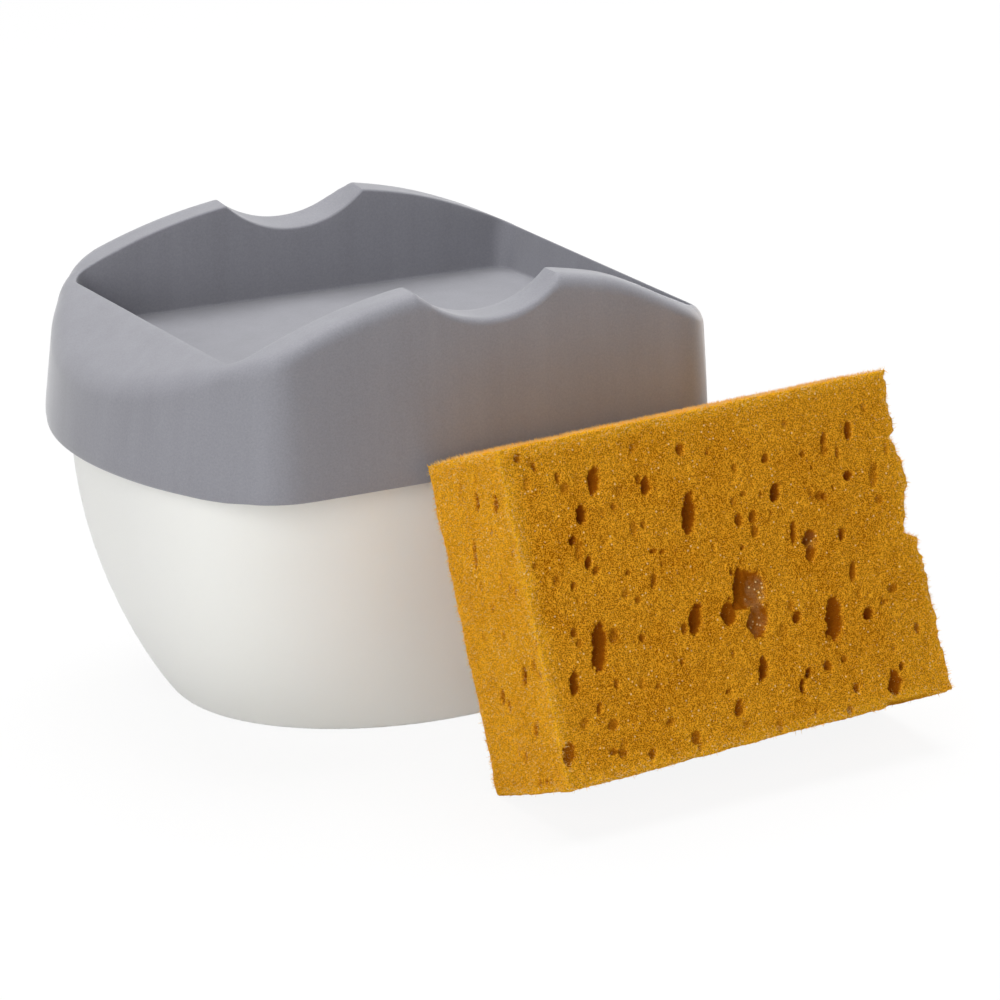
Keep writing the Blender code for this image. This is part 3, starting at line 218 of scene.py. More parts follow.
# Layers of smooth noise, as strength and cell in mm: on a pore's outline, on the faces and on
# the torn end
PORE_WOBBLE = ((0.20, 1.4), (0.16, 0.5))
FACE_GRAIN = ((0.11, 0.7), (0.12, 2.6), (0.20, 11))
END_GRAIN = ((0.35, 0.9), (0.25, 2.2))
FACE_GRAIN_SEED = 11
END_GRAIN_SEED = 14
SCATTER_SEED = 21
# The noise's table of values, and how a place is turned into one of its rows
NOISE_ROWS = 4096
NOISE_FACTORS = (73856093, 19349663, 83492791)
NOISE_SHIFT = 13
# The torn right end: share of the height, and how far it falls short there, in mm
END_CUT = (
    (0.0, 0.3), (0.28, 0.35), (0.415, 0.6), (0.48, 1.0), (0.493, 2.6), (0.503, 3.8), (0.545, 3.0),
    (0.59, 2.2), (0.63, 0.9), (0.65, 0.6), (0.73, 0.8), (0.76, 1.6), (0.797, 2.2), (0.8125, 0.6),
    (0.90, 1.3), (1.0, 0.0))
END_REACH = 9.0 * MM
END_FRONT_SLOPE = 1.8
# The nick under the right end: share of the length where it starts and over which it opens, its
# height and its reach up
FOOT_NICK = (0.818, 0.012, 1.1 * MM, 4.0 * MM)
# Painted light where the foam is drawn paler: strength and reach of the painted glow along the
# cut edges, the top, the foot and the right end, with how much more the right end gets near the
# foot
EDGE_GLOW_REACH = 2.4 * MM
TOP_GLOW = (0.30, 7.0 * MM)
FOOT_GLOW = (0.22, 12.0 * MM)
RIGHT_GLOW = (0.30, 11.0 * MM)
RIGHT_FOOT_GLOW = 0.35
# Painted light: both ends and the top face drawn paler, as if lit
END_FACE_GLOW = 0.5
TOP_FACE_GLOW = 0.8
# Loose struts: radius, how far they lean and turn, their sizes, where there are none, and how
# close and how long they are, in the middle of a face and how much more where the painted glow is
FIBRE_SEED = 5
FIBRE_RADIUS = 0.065 * MM
FIBRE_TURN = (0.9, 0.9, 3.1)
FIBRE_SIZES = (0.35, 1.2)
FIBRE_LOWEST = 1.5 * MM
FIBRE_LEAST_FACING = -0.45
FIBRE_CROWD = (0.3, 1.6)
FIBRE_GROWTH = (0.4, 0.6)

# Camera that took the photograph
CAMERA_AZIMUTH = math.radians(29.5661152)
CAMERA_ELEVATION = math.radians(17.84139)
CAMERA_PLACE = (-0.32337, -0.61911, 0.26084)
CAMERA_LENS = 126.835
CAMERA_SENSOR = 36.0
CAMERA_CLIP_START = 0.01
PHOTO_SIZE = 1000

# Lamps: name, side length and place. All of them aim at one point
LAMPS = (
    ("top", 1.2, (0.1, 0.35, 1.5)), ("side", 1.2, (-1.0, -0.9, 0.5)),
    ("back", 1.2, (1.3, 0.5, 0.5)), ("near", 0.6, (-0.62, -0.42, 0.32)))
LAMP_TARGET = (0.0, 0.0, 0.05)
FLOOR_REACH = 4.0
WHITE = (1.0, 1.0, 1.0)
SEEN_PAPER = (0.95, 0.95, 0.95)

# Moulded pieces that keep the frame's shapes: slot, finish, colour, roughness, IOR and nodes
MOULDED_GROUPS = (
    ("white_moulding", "white_moulding", (0.80, 0.80, 0.78), 0.42, 1.5,
     ("reservoir_cover", "screw_collar", "pump_insert", "pump_head")),
    ("natural_plastic", "natural_plastic", (0.72, 0.74, 0.74), 0.32, 1.5,
     ("pump_housing", "dip_tube", "pump_stem", "piston", "piston_seat")),
    ("soft_seal", "soft_seal", (0.22, 0.23, 0.25), 0.7, 1.5,
     ("base_pad", "cover_gasket", "housing_gasket", "nozzle_gasket")),
    ("clear_silicone", "clear_silicone", (0.70, 0.73, 0.75), 0.35, 1.41, ("outlet_valve",)),
    ("white_moulding", "nozzle_plastic", (0.62, 0.62, 0.63), 0.4, 1.5, ("outlet_nozzle",)))
STEEL_COLOURS = ((0.52, 0.51, 0.50), (0.70, 0.69, 0.67))


# Node trees written as expressions

class Wire:
    """One output of a node, so that sums on it can be written as plain Python."""

    def __init__(self, graph, socket):
        self.graph = graph
        self.socket = socket

    def maths(self, operation, *values):
        return self.graph.add(
            "ShaderNodeMath", {"operation": operation}, dict(enumerate(values)))

    def __add__(self, other):
        return self.maths("ADD", self, other)

    def __sub__(self, other):
        return self.maths("SUBTRACT", self, other)

    def __rsub__(self, other):
        return self.maths("SUBTRACT", other, self)

    def __mul__(self, other):
        return self.maths("MULTIPLY", self, other)

    def __truediv__(self, other):
        return self.maths("DIVIDE", self, other)

    def __rtruediv__(self, other):
        return self.maths("DIVIDE", other, self)

    def __pow__(self, other):
        return self.maths("POWER", self, other)

    def __abs__(self):
        return self.maths("ABSOLUTE", self)

    def __lt__(self, other):
        return self.maths("LESS_THAN", self, other)

    def __gt__(self, other):
        return self.maths("GREATER_THAN", self, other)

    __radd__ = __add__
    __rmul__ = __mul__

    def lowest(self, other):
        return self.maths("MINIMUM", self, other)

    def highest(self, other):
        return self.maths("MAXIMUM", self, other)

    def sign(self):
        return self.maths("SIGN", self)

    def clamped(self):
        return self.highest(0.0).lowest(1.0)

    def other(self, name):
        """Another output of the same node."""
        return Wire(self.graph, self.socket.node.outputs[name])


class Graph:
    """Adds nodes to the node tree of a material, a world or a modifier."""

    def __init__(self, tree):
        self.tree = tree

    def add(self, kind, settings=None, values=None, output=0):
        """A new node: its settings first, then the values or links of its inputs."""
        node = self.tree.nodes.new(kind)
        for name, value in (settings or {}).items():
            setattr(node, name, value)
        self.fill(node, values or {})
        return Wire(self, node.outputs[output]) if node.outputs else node

    def fill(self, node, values):
        """Give a node's inputs their links or plain values."""
        for key, value in values.items():
            if isinstance(value, Wire):
                self.tree.links.new(value.socket, node.inputs[key])
            else:
                node.inputs[key].default_value = value

    def mix(self, share, first, second, blend="MIX"):
        """Two colours mixed by a share."""
        settings = {"data_type": "RGBA", "blend_type": blend}
        node = self.add("ShaderNodeMix", settings, {0: share, 6: first, 7: second})
        return Wire(self, node.socket.node.outputs[2])

    def smooth(self, value, low, high):
        """A soft step from 0 at low to 1 at high."""
        return self.add("ShaderNodeMapRange", {"interpolation_type": "SMOOTHSTEP"}, {
            "Value": value, "From Min": low, "From Max": high})

    def noise(self, place, size, detail=2.0, roughness=0.5):
        """Clouds whose largest lumps are about one size across."""
        return self.add("ShaderNodeTexNoise", {}, {
            "Vector": place, "Scale": 1.0 / size, "Detail": detail, "Roughness": roughness})

    def cells(self, place, size, feature="F1"):
        """Random cells about one size across."""
        return self.add("ShaderNodeTexVoronoi", {"feature": feature}, {
            "Vector": place, "Scale": 1.0 / size})

    def stretched(self, place, scale):
        return self.add("ShaderNodeMapping", {}, {"Vector": place, "Scale": scale})

    def picked(self, cells):
        """A random value for each cell."""
        return self.add("ShaderNodeSeparateColor", {}, {0: cells.other("Color")})

    def bump(self, height, distance, strength):
        return self.add("ShaderNodeBump", {}, {
            "Height": height, "Distance": distance, "Strength": strength})

    def part(self, axis, kind):
        """One axis of the place or the direction that a kind of node gives."""
        return self.add("ShaderNodeSeparateXYZ", {}, {0: self.add(kind)}).other(axis)

    def plainly_seen(self):
        """1 where the camera looks, also in gloss and through glass, and 0 for other light."""
        light = self.add("ShaderNodeLightPath")
        return (light.other("Is Camera Ray") + light.other("Is Glossy Ray")
                + light.other("Is Transmission Ray")).clamped()


def new_tree(name, inputs):
    """A modifier's graph and its given values, from the names and kinds of its inputs."""
    tree = bpy.data.node_groups.new(name, "GeometryNodeTree")
    tree.is_modifier = True
    tree.interface.new_socket("Geometry", in_out="OUTPUT", socket_type="NodeSocketGeometry")
    for socket, kind in inputs:
        tree.interface.new_socket(socket, in_out="INPUT", socket_type="NodeSocket" + kind)
    graph = Graph(tree)
    given = graph.add("NodeGroupInput")
    return graph, [given.other(socket) for socket, kind in inputs]


def closed_tree(graph, shape, finish):
    """The graph's tree, ended with plain geometry in its material."""
    solid = graph.add("GeometryNodeRealizeInstances", {}, {"Geometry": shape})
    finished = graph.add("GeometryNodeSetMaterial", {}, {"Geometry": solid, "Material": finish})
    graph.add("NodeGroupOutput", {}, {0: finished})
    return graph.tree


def new_material(name, plain):
    """A material with its graph, its object coordinates and its shader's plain values set."""
    material = bpy.data.materials.new(name)
    material.use_nodes = True
    graph = Graph(material.node_tree)
    shader = material.node_tree.nodes["Principled BSDF"]
    graph.fill(shader, plain)
    place = graph.add("ShaderNodeTexCoord").other("Object")
    return material, graph, shader, place


def tint(colour, share=1.0):
    """A colour for a socket, lighter or darker by a share."""
    return (*(min(1.0, part * share) for part in colour), 1.0)


# Finishes

def lid_finish(lid):
    """Soft-touch grey plastic: fine grain, faint moulding streaks and dust."""
    material, graph, shader, place = new_material("soft_touch_grey", {
        "IOR": 1.46, "Sheen Weight": lid.sheen, "Sheen Roughness": 0.4})
    clouds = graph.noise(place, 30 * MM, 2.0)
    grain = graph.noise(place, 0.40 * MM, 3.0, 0.75)
    fine = graph.noise(place, 0.18 * MM, 1.0)
    streaks = graph.noise(graph.stretched(place, (1.0, 1.0, 0.05)), 5 * MM, 3.0, 0.6)
    dust = graph.cells(place, 4.2 * MM)
    speck = (dust < 0.030) * (graph.picked(dust) > 0.62)
    tone = 1.0 + (clouds - 0.5) * 0.07 + (grain - 0.5) * 0.46 + (streaks - 0.5) * 0.22
    tinted = graph.mix(1.0, tint(lid.colour), graph.add(
        "ShaderNodeCombineColor", {}, {0: tone, 1: tone, 2: tone}), "MULTIPLY")
    dusty = graph.mix(speck * lid.dust, tinted, tint(lid.colour, 1.9))
    graph.fill(shader, {
        "Base Color": dusty, "Roughness": lid.roughness + (grain - 0.5) * 0.10,
        "Normal": graph.bump(grain + fine * 0.5, 0.03 * MM, 0.35)})
    return material


def tub_finish(tub):
    """Milky plastic: satin, with a faint flow pattern."""
    material, graph, shader, place = new_material("milky_plastic", {
        "IOR": 1.49, "Subsurface Weight": 1.0, "Subsurface Radius": (1.0, 1.0, 1.0),
        "Subsurface Scale": tub.glow_depth})
    clouds = graph.noise(place, 45 * MM, 1.0)
    flow = graph.noise(graph.stretched(place, (1.0, 1.0, 0.12)), 14 * MM, 2.0)
    skin = graph.noise(place, 1.6 * MM, 2.0)
    share = (clouds - 0.5) * 0.5 + (flow - 0.5) * 0.5 + 0.5
    colour = graph.mix(share.clamped(), tint(tub.colour, 0.975), tint(tub.colour))
    graph.fill(shader, {
        "Base Color": colour, "Roughness": tub.roughness + (skin - 0.5) * 0.06,
        "Normal": graph.bump(skin, 0.02 * MM, 0.25)})
    return material


def foam_finish(sponge):
    """Open-cell foam: painted highlights on the struts over painted shade in the cells, smooth
    and browner inside the pores from painted shade, with a painted glow along the edges and
    painted glints.
    """
    material, graph, shader, place = new_material(
        "open_cell_foam", {"IOR": 1.35, "Specular IOR Level": 0.0})
    hollow, rind, torn = (
        graph.add("ShaderNodeAttribute", {"attribute_name": name}).other("Fac")
        for name in ("hollow", "rind", "torn"))
    drift = graph.noise(place, 9 * MM, 2.0)
    # Painted shade and highlight: the struts are drawn lit and the cells between them shaded, in
    # place of the foam's own fine shading
    net = graph.cells(place, sponge.cell_size, "DISTANCE_TO_EDGE")
    strut = 1.0 - graph.smooth(net, 0.03, 0.32)
    speckle = graph.smooth(graph.noise(place, sponge.cell_size * 0.8, 1.0), 0.33, 0.67)
    coarse = graph.noise(place, 1.3 * MM, 2.0, 0.6)
    # Painted glints: small bright spots on a few struts, more of them on the torn skin and where
    # the painted glow is
    grit = graph.cells(place, sponge.cell_size * 2.3)
    pick = graph.picked(grit)
    spark = (1.0 - graph.smooth(grit, 0.14, 0.32)) * graph.smooth(
        pick + torn * 0.35 + rind * 0.08, 0.84, 0.94)
    inside = graph.smooth(hollow, 0.10, 0.80)
    grain = strut * 0.5 + speckle * 0.5 + (coarse - 0.5) * 0.35
    tone = (0.5 + (grain - 0.50) * (1.95 - inside * 1.3)).clamped()
    dark = graph.mix(graph.smooth(tone, 0.0, 0.5), tint(sponge.shade), tint(sponge.colour))
    lit = graph.mix(((tone - 0.5) * 2.0).clamped(), dark, tint(sponge.highlight))
    # Painted shade: dark specks in tiny pits, drawn in half the cell shade colour, away from the
    # painted glow
    pit_shade = (1.0 - graph.smooth(grit, 0.10, 0.26)) * (pick < 0.09) * (1.0 - rind)
    pit_shaded = graph.mix(pit_shade, lit, tint(sponge.shade, 0.5))
    drifted = graph.mix(graph.smooth(drift, 0.30, 0.62) * 0.22, graph.mix(
        graph.smooth(drift, 0.62, 0.30) * 0.22, pit_shaded, tint(sponge.colour)),
        tint(sponge.highlight, 0.85))
    # Painted glow along the edges, on the ends and on the top face
    edge_glowed = graph.mix(rind * 0.55, drifted, graph.mix(
        tone, tint(sponge.rind, 0.72), tint(sponge.rind, 1.12)))
    # Painted shade inside the pores: a darker brown where the hollow is deep
    pore_shade = graph.mix(tone, tint(sponge.pore, 0.7), tint(sponge.pore, 1.35))
    pore_shaded = graph.mix(inside, edge_glowed, pore_shade)
    skin = graph.mix(tone, tint(sponge.skin, 0.45), tint(sponge.skin, 1.4))
    skinned = graph.mix(torn * graph.smooth(coarse, 0.25, 0.6), pore_shaded, skin)
    open_face = 1.0 - graph.smooth(hollow, 0.05, 0.4)
    # Painted glints over the open faces and the torn skin
    sparkling = graph.mix(
        (spark * (open_face * 0.75 + torn)).clamped(), skinned, tint(sponge.glint))
    graph.fill(shader, {
        "Base Color": sparkling, "Roughness": 0.85 - spark * 0.35,
        "Normal": graph.bump(tone, 0.22 * MM, 0.45)})
    return material


def fibre_finish(sponge):
    """Loose struts that stand out of the sponge's faces, in the painted glow and painted glint
    colours.
    """
    material, graph, shader, place = new_material(
        "foam_fibre", {"Roughness": 0.55, "IOR": 1.4, "Specular IOR Level": 0.2})
    lengthwise = graph.noise(place, 0.8 * MM, 1.0)
    mixed = graph.mix(
        graph.smooth(lengthwise, 0.35, 0.65), tint(sponge.rind), tint(sponge.glint, 0.8))
    graph.fill(shader, {"Base Color": mixed})
    return material


def moulded_finish(name, colour, roughness, ior):
    """Plain moulded plastic or rubber with a fine skin and slight colour drift."""
    material, graph, shader, place = new_material(name, {"IOR": ior})
    drift = graph.noise(place, 12 * MM, 2.0)
    skin = graph.noise(place, 0.5 * MM, 2.0)
    tinted = graph.mix(drift, tint(colour, 0.94), tint(colour, 1.04))
    graph.fill(shader, {
        "Base Color": tinted, "Roughness": roughness + (skin - 0.5) * 0.12,
        "Normal": graph.bump(skin, 0.02 * MM, 0.3)})
    return material


def steel_finish():
    """Drawn spring steel with fine lengthwise lines."""
    material, graph, shader, place = new_material("spring_steel", {"Metallic": 1.0})
    lines = graph.noise(graph.stretched(place, (1.0, 1.0, 9.0)), 0.6 * MM, 2.0)
    graph.fill(shader, {
        "Base Color": graph.mix(lines, *map(tint, STEEL_COLOURS)),
        "Roughness": 0.24 + lines * 0.16})
    return material


def floor_finish(stage):
    """White paper: it takes the shadow, and shows the camera a plain white."""
    material, graph, shader, place = new_material("white_paper", {"Roughness": 0.9})
    fibres = graph.noise(place, 2 * MM, 2.0)
    plain = graph.mix(fibres, tint(stage.floor_colour, 0.99), tint(stage.floor_colour))
    seen = graph.plainly_seen()
    graph.fill(shader, {"Base Color": graph.mix(seen, plain, tint(SEEN_PAPER))})
    glow = graph.add("ShaderNodeEmission", {}, {"Color": tint(WHITE), "Strength": 1.0})
    mixed = graph.add("ShaderNodeMixShader", {}, {
        0: seen * (1.0 - stage.shadow), 1: Wire(graph, shader.outputs[0]), 2: glow})
    graph.fill(material.node_tree.nodes["Material Output"], {"Surface": mixed})
    return material


# Meshes

def link(name, data):
    """A new object at the origin that shows a mesh, or holds a lamp or a camera."""
    item = bpy.data.objects.new(name, data)
    bpy.context.scene.collection.objects.link(item)
    return item


def built(name, builder):
    """A new object from a mesh builder, which is freed."""
    mesh = bpy.data.meshes.new(name)
    builder.to_mesh(mesh)
    builder.free()
    return link(name, mesh)


def loft(name, rings):
    """Skin rings of points into one closed loop of faces."""
    builder = bmesh.new()
    rows = [[builder.verts.new(point) for point in ring] for ring in rings]
    for lower, upper in zip(rows, rows[1:] + rows[:1]):
        for here in range(len(lower)):
            after = (here + 1) % len(lower)
            builder.faces.new((lower[here], lower[after], upper[after], upper[here]))
    bmesh.ops.remove_doubles(builder, verts=builder.verts, dist=WELD_DISTANCE)
    bmesh.ops.recalc_face_normals(builder, faces=builder.faces)
    return built(name, builder)


def applied(item):
    """Replace an object's mesh by what its modifiers make of it, and take them off."""
    bpy.context.view_layer.update()
    shown = item.evaluated_get(bpy.context.evaluated_depsgraph_get())
    mesh = bpy.data.meshes.new_from_object(shown)
    item.modifiers.clear()
    item.data = mesh
    mesh.name = item.name


def shaped(item, tree, values):
    """Run a node tree on an object, with its inputs given by name, and keep the result."""
    modifier = item.modifiers.new(tree.name, "NODES")
    modifier.node_group = tree
    for socket in tree.interface.items_tree:
        if socket.in_out == "INPUT" and socket.name in values:
            modifier[socket.identifier] = values[socket.name]
    applied(item)


def smoothed(item):
    item.data.shade_smooth()
    item.data.set_sharp_from_angle(angle=SMOOTH_ANGLE)
    return item


def dress(item, material, body, slot, *nodes):
    """Give a finished piece its material and body, in place of CAD nodes. The slot is not used.
    """
    item.data.materials.clear()
    item.data.materials.append(material)
    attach(item, body)
    if nodes:
        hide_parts(*nodes)


def merged_copy(node):
    """A CAD node's mesh with its loose triangles joined and its round faces smooth."""
    builder = bmesh.new()
    builder.from_mesh(frame["nodes"][node].data)
    bmesh.ops.remove_doubles(builder, verts=builder.verts, dist=NODE_WELD_DISTANCE)
    return smoothed(built(node + "_smooth", builder))


def boolean(item, tool, operation):
    """Join or cut with a tool object, and remove the tool."""
    step = item.modifiers.new(tool.name, "BOOLEAN")
    step.operation = operation
    step.object = tool
    step.solver = "EXACT"
    applied(item)
    bpy.data.objects.remove(tool)


def post(name, radius, bottom, top, x):
    """An upright round post."""
    builder = bmesh.new()
    bmesh.ops.create_cone(
        builder, cap_ends=True, segments=POST_SEGMENTS, radius1=radius, radius2=radius,
        depth=top - bottom, matrix=Matrix.Translation((x, 0.0, (top + bottom) / 2)))
    return built(name, builder)


def oval_block(name, half_length, half_width, bottom, top):
    """An upright block with the foot's oval outline."""
    power = 2.0 / TUB_EXPONENTS[0]
    builder = bmesh.new()
    ring = []
    for step in range(TUB_STATIONS):
        x, y = (trig(math.tau * step / TUB_STATIONS) for trig in (math.cos, math.sin))
        ring.append(builder.verts.new((
            math.copysign(abs(x) ** power, x) * half_length,
            math.copysign(abs(y) ** power, y) * half_width, bottom)))
    raised = bmesh.ops.extrude_face_region(builder, geom=[builder.faces.new(ring)])
    for part in raised["geom"]:
        if isinstance(part, bmesh.types.BMVert):
            part.co.z = top
    bmesh.ops.recalc_face_normals(builder, faces=builder.faces)
    return built(name, builder)


# Sums that several pieces share

def ramp(value, low, high):
    """From 0 at low to 1 at high, and level outside."""
    return min(max((value - low) / (high - low), 0.0), 1.0)


def eased(part):
    """A share with a soft start and a soft end."""
    return part * part * (3.0 - 2.0 * part)


def fade(gap, reach):
    """From 1 at no gap to nothing past the reach."""
    return np.exp(-(gap / reach) ** 2)


def looked_up(table, place):
    """What a table in mm gives for a place."""
    return float(np.interp(place / MM, *zip(*table))) * MM


def quarter_turn(count):
    """Angles that split a quarter turn evenly, both ends included."""
    return [math.pi / 2 * step / count for step in range(count + 1)]


def direction(centre, through):
    """The angle at which a point is seen from a centre."""
    return math.atan2(through[1] - centre[1], through[0] - centre[0])


# Lid

class LidShape:
    """The lid's outline, arch and section, from the lid's settings."""

    def __init__(self, lid):
        self.lid = lid
        self.half_length = lid.tray_half_length + lid.end_rim
        self.half_width = lid.tray_half_width + lid.side_rim
        self.end_centre = Vector((self.half_length - lid.end_radius, 0.0))
        corner_y = self.half_width - lid.corner_radius
        reach = math.sqrt((lid.end_radius - lid.corner_radius) ** 2 - corner_y ** 2)
        self.corner_centre = Vector((self.end_centre.x + reach, corner_y))
        self.tray_under = COVER_TOP_Z + lid.press_travel + PRESS_CLEARANCE
        self.tray_floor = self.tray_under + lid.wall
        self.peak = self.tray_floor + lid.tray_depth

    def top(self, x):
        """Height of the top over a place along the lid: an arch with a finger scoop."""
        lid = self.lid
        reach = min(abs(x), lid.arch_radius)
        base = self.peak - lid.arch_radius
        arch = base + math.sqrt(lid.arch_radius ** 2 - reach ** 2)
        corner = base + math.sqrt(lid.arch_radius ** 2 - lid.scoop_half_width ** 2)
        bottom = self.peak - lid.scoop_depth
        rise = corner - bottom
        radius = (lid.scoop_half_width ** 2 + rise ** 2) / (2 * rise)
        if reach >= radius:
            return arch
        scoop = bottom + radius - math.sqrt(radius ** 2 - reach ** 2)
        blend = max(SCOOP_CORNER_BLEND - abs(arch - scoop), 0.0) / SCOOP_CORNER_BLEND
        return min(arch, scoop) - blend ** 2 * SCOOP_CORNER_BLEND / 4

    def trued(self, x, y, height, inside):
        """A point of the plain lid, moved to where the photograph shows it.

        The skirt's inside gives less than its outside, so that the tub's rim stays clear of it.
        """
        lid = self.lid
        side = lid.tray_half_width
        end = ramp(abs(x) - lid.tray_half_length, 0.0, END_REGION)
        back = max(ramp(y - side, 0.0, lid.side_rim), end * ramp(y, 0.0, side))
        raised = ramp(height, LID_EDGE_Z, self.top(x))
        rise = back * looked_up(BACK_RIM, x)
        hem = ramp(-y, -side, side) * looked_up(FRONT_HEM, x)
        height_now = height + raised * rise - (1.0 - raised) * hem
        if x < 0.0:
            bulge = LEFT_END_BULGE * end * (1.0 - raised) * ramp(raised, 0.0, LEFT_BULGE_START)
            return (x - bulge, y, height_now)
        drop = (RIGHT_DROP - y * RIGHT_DROP_TILT) * eased(ramp(x, *RIGHT_DROP_REGION))
        front = ramp(-y - side, *FRONT_WALL_REGION)
        short = RIGHT_END_SHORT * end + front * looked_up(FRONT_SHORT, x)
        if inside:
            short = max(short - lid.wall * RIGHT_END_THINNED, 0.0)
        return (x - short, y, height_now - drop * ramp(height, self.tray_floor, self.top(x)))

    @staticmethod
    def draft(height):
        """How far the wall has drawn in at a height."""
        return (height - LID_EDGE_Z) * math.tan(LID_DRAFT)

    def quarter(self):
        """Rays over a quarter of the outline: an arc's centre, a direction and its radius."""
        lid = self.lid
        corner = lid.tray_corner_radius
        flat_x, flat_y = lid.tray_half_length - corner, lid.tray_half_width - corner
        reach = SCOOP_REACH * lid.scoop_half_width
        places = [reach * step / SCOOP_STEPS for step in range(SCOOP_STEPS + 1)]
        places += [
            reach + (self.corner_centre.x - reach) * step / SIDE_STEPS
            for step in range(1, SIDE_STEPS + 1)]
        rays = [(Vector((x, 0.0)), Vector((0.0, 1.0)), self.half_width) for x in places]
        join = direction(self.end_centre, self.corner_centre)
        turns = [
            math.pi / 2 + (join - math.pi / 2) * step / CORNER_STEPS
            for step in range(1, CORNER_STEPS + 1)]
        through = [
            (flat_x + corner * math.sin(angle), flat_y + corner * math.cos(angle))
            for angle in quarter_turn(TRAY_CORNER_STEPS)]
        through += [
            (lid.tray_half_length, flat_y * (1.0 - step / END_STEPS))
            for step in range(1, END_STEPS + 1)]
        for point in through:
            turn = direction(self.end_centre, point)
            turns.append(turn if turn <= join else direction(self.corner_centre, point))
        for turn in sorted(turns, reverse=True):
            away = Vector((math.cos(turn), math.sin(turn)))
            if turn < join:
                rays.append((self.end_centre, away, lid.end_radius))
            else:
                rays.append((self.corner_centre, away, lid.corner_radius))
        return rays

    def stations(self):
        """Rays round the whole lid."""
        quarter = self.quarter()
        rays = []
        for flip_x, flip_y, order in ((1, 1, -1), (-1, 1, 1), (-1, -1, -1), (1, -1, 1)):
            flip = Vector((flip_x, flip_y))
            for centre, away, radius in quarter[::order][:-1]:
                rays.append((centre * flip, away * flip, radius))
        return rays

    def tray_place(self, ray, grow_x, grow_y):
        """Where a ray crosses the tray's rounded rectangle, grown by an amount each way."""
        centre, away, reach = ray
        radius = self.lid.tray_corner_radius + grow_y
        half = Vector((self.lid.tray_half_length + grow_x, self.lid.tray_half_width + grow_y))
        near, far = 0.0, reach
        for _ in range(TRAY_SEARCH_STEPS):
            middle = (near + far) / 2
            place = centre + away * middle
            across = abs(place.x) - (half.x - radius)
            along = abs(place.y) - (half.y - radius)
            outside = math.hypot(max(across, 0.0), max(along, 0.0))
            inside = outside + min(max(across, along), 0.0) < radius
            near, far = (middle, far) if inside else (near, middle)
        return centre + away * near

    def column(self, ray):
        """One ray's section, from the hem over the rim to the tray's hole and back inside."""
        lid = self.lid
        centre, away, radius = ray
        points = []

        def add(place, height, inside=False):
            points.append(self.trued(place.x, place.y, height, inside))

        def wall(inset):
            return centre + away * (radius - inset)

        def wall_top(fillet):
            inset = 0.0
            for _ in range(DRAFT_SEARCH_STEPS):
                inset = self.draft(self.top(wall(inset).x) - fillet)
            return inset

        tray = self.tray_place(ray, 0.0, 0.0)
        width = (wall(wall_top(lid.top_fillet)) - tray).length
        fillet = min(lid.top_fillet, width * TOP_FILLET_LIMIT)
        on_side = not away.x
        if on_side:
            depth = ramp(lid.scoop_half_width - abs(centre.x), 0.0, SCOOP_FILLET_RUN)
            fillet *= 1.0 - (1.0 - SCOOP_FILLET_SHARE) * depth
        edge = min(TRAY_EDGE_FILLET, width * TRAY_EDGE_LIMIT)
        inset = wall_top(fillet)

        for angle in quarter_turn(HEM_STEPS):
            height = LID_EDGE_Z + LID_HEM_FILLET * (1.0 - math.cos(angle))
            add(wall(LID_HEM_FILLET * (1.0 - math.sin(angle)) + self.draft(height)), height)
        low = LID_EDGE_Z + LID_HEM_FILLET
        high = self.top(wall(inset).x) - fillet
        for level in range(1, WALL_LEVELS):
            height = low + (high - low) * level / WALL_LEVELS
            add(wall(self.draft(height)), height)
        for angle in quarter_turn(FILLET_STEPS):
            place = wall(inset + fillet * (1.0 - math.cos(angle)))
            add(place, self.top(place.x) - fillet * (1.0 - math.sin(angle)))
        crest, brink = wall(inset + fillet), tray + away * edge
        for level in range(1, RIM_LEVELS):
            place = crest.lerp(brink, level / RIM_LEVELS)
            add(place, self.top(place.x))
        for angle in quarter_turn(FILLET_STEPS // 2):
            place = tray + away * edge * (1.0 - math.sin(angle))
            add(place, self.top(place.x) - edge * (1.0 - math.cos(angle)))
        foot = self.tray_floor + TRAY_FLOOR_FILLET
        start = self.top(tray.x) - edge
        for level in range(1, WALL_LEVELS):
            share = level / WALL_LEVELS
            place = self.tray_place(ray, -TRAY_END_SLOPE * share, 0.0)
            add(place, start + (foot - start) * share)
        for angle in quarter_turn(FILLET_STEPS // 2):
            inner = -TRAY_FLOOR_FILLET * (1.0 - math.cos(angle))
            place = self.tray_place(ray, inner - TRAY_END_SLOPE, inner)
            add(place, self.tray_floor + TRAY_FLOOR_FILLET * (1.0 - math.sin(angle)))
        hole = tray.normalized() * TRAY_HOLE_RADIUS
        for level in range(1, WALL_LEVELS):
            add(place.lerp(hole, level / WALL_LEVELS), self.tray_floor)
        add(hole, self.tray_floor)
        add(hole, self.tray_under)

        skirt = wall(self.draft(self.tray_under) + lid.wall)
        shell = self.tray_place(ray, lid.wall, lid.wall)
        gap = (skirt - shell).dot(away)
        if gap < CORE_LEAST_GAP:
            shell = skirt - away * CORE_LEAST_GAP
        opening = eased(ramp(gap, CORE_OPEN_GAP, CORE_FULL_GAP))

        def roof(place):
            return self.tray_under + (self.top(place.x) - lid.wall - self.tray_under) * opening

        add(shell, self.tray_under, True)
        add(shell, roof(shell), True)
        outer = wall(self.draft(roof(shell)) + lid.wall)
        if (outer - shell).dot(away) < CORE_LEAST_GAP:
            outer = shell + away * CORE_LEAST_GAP
        add(outer, roof(outer), True)
        add(wall(lid.wall), LID_EDGE_Z, True)
        return points


# Camera

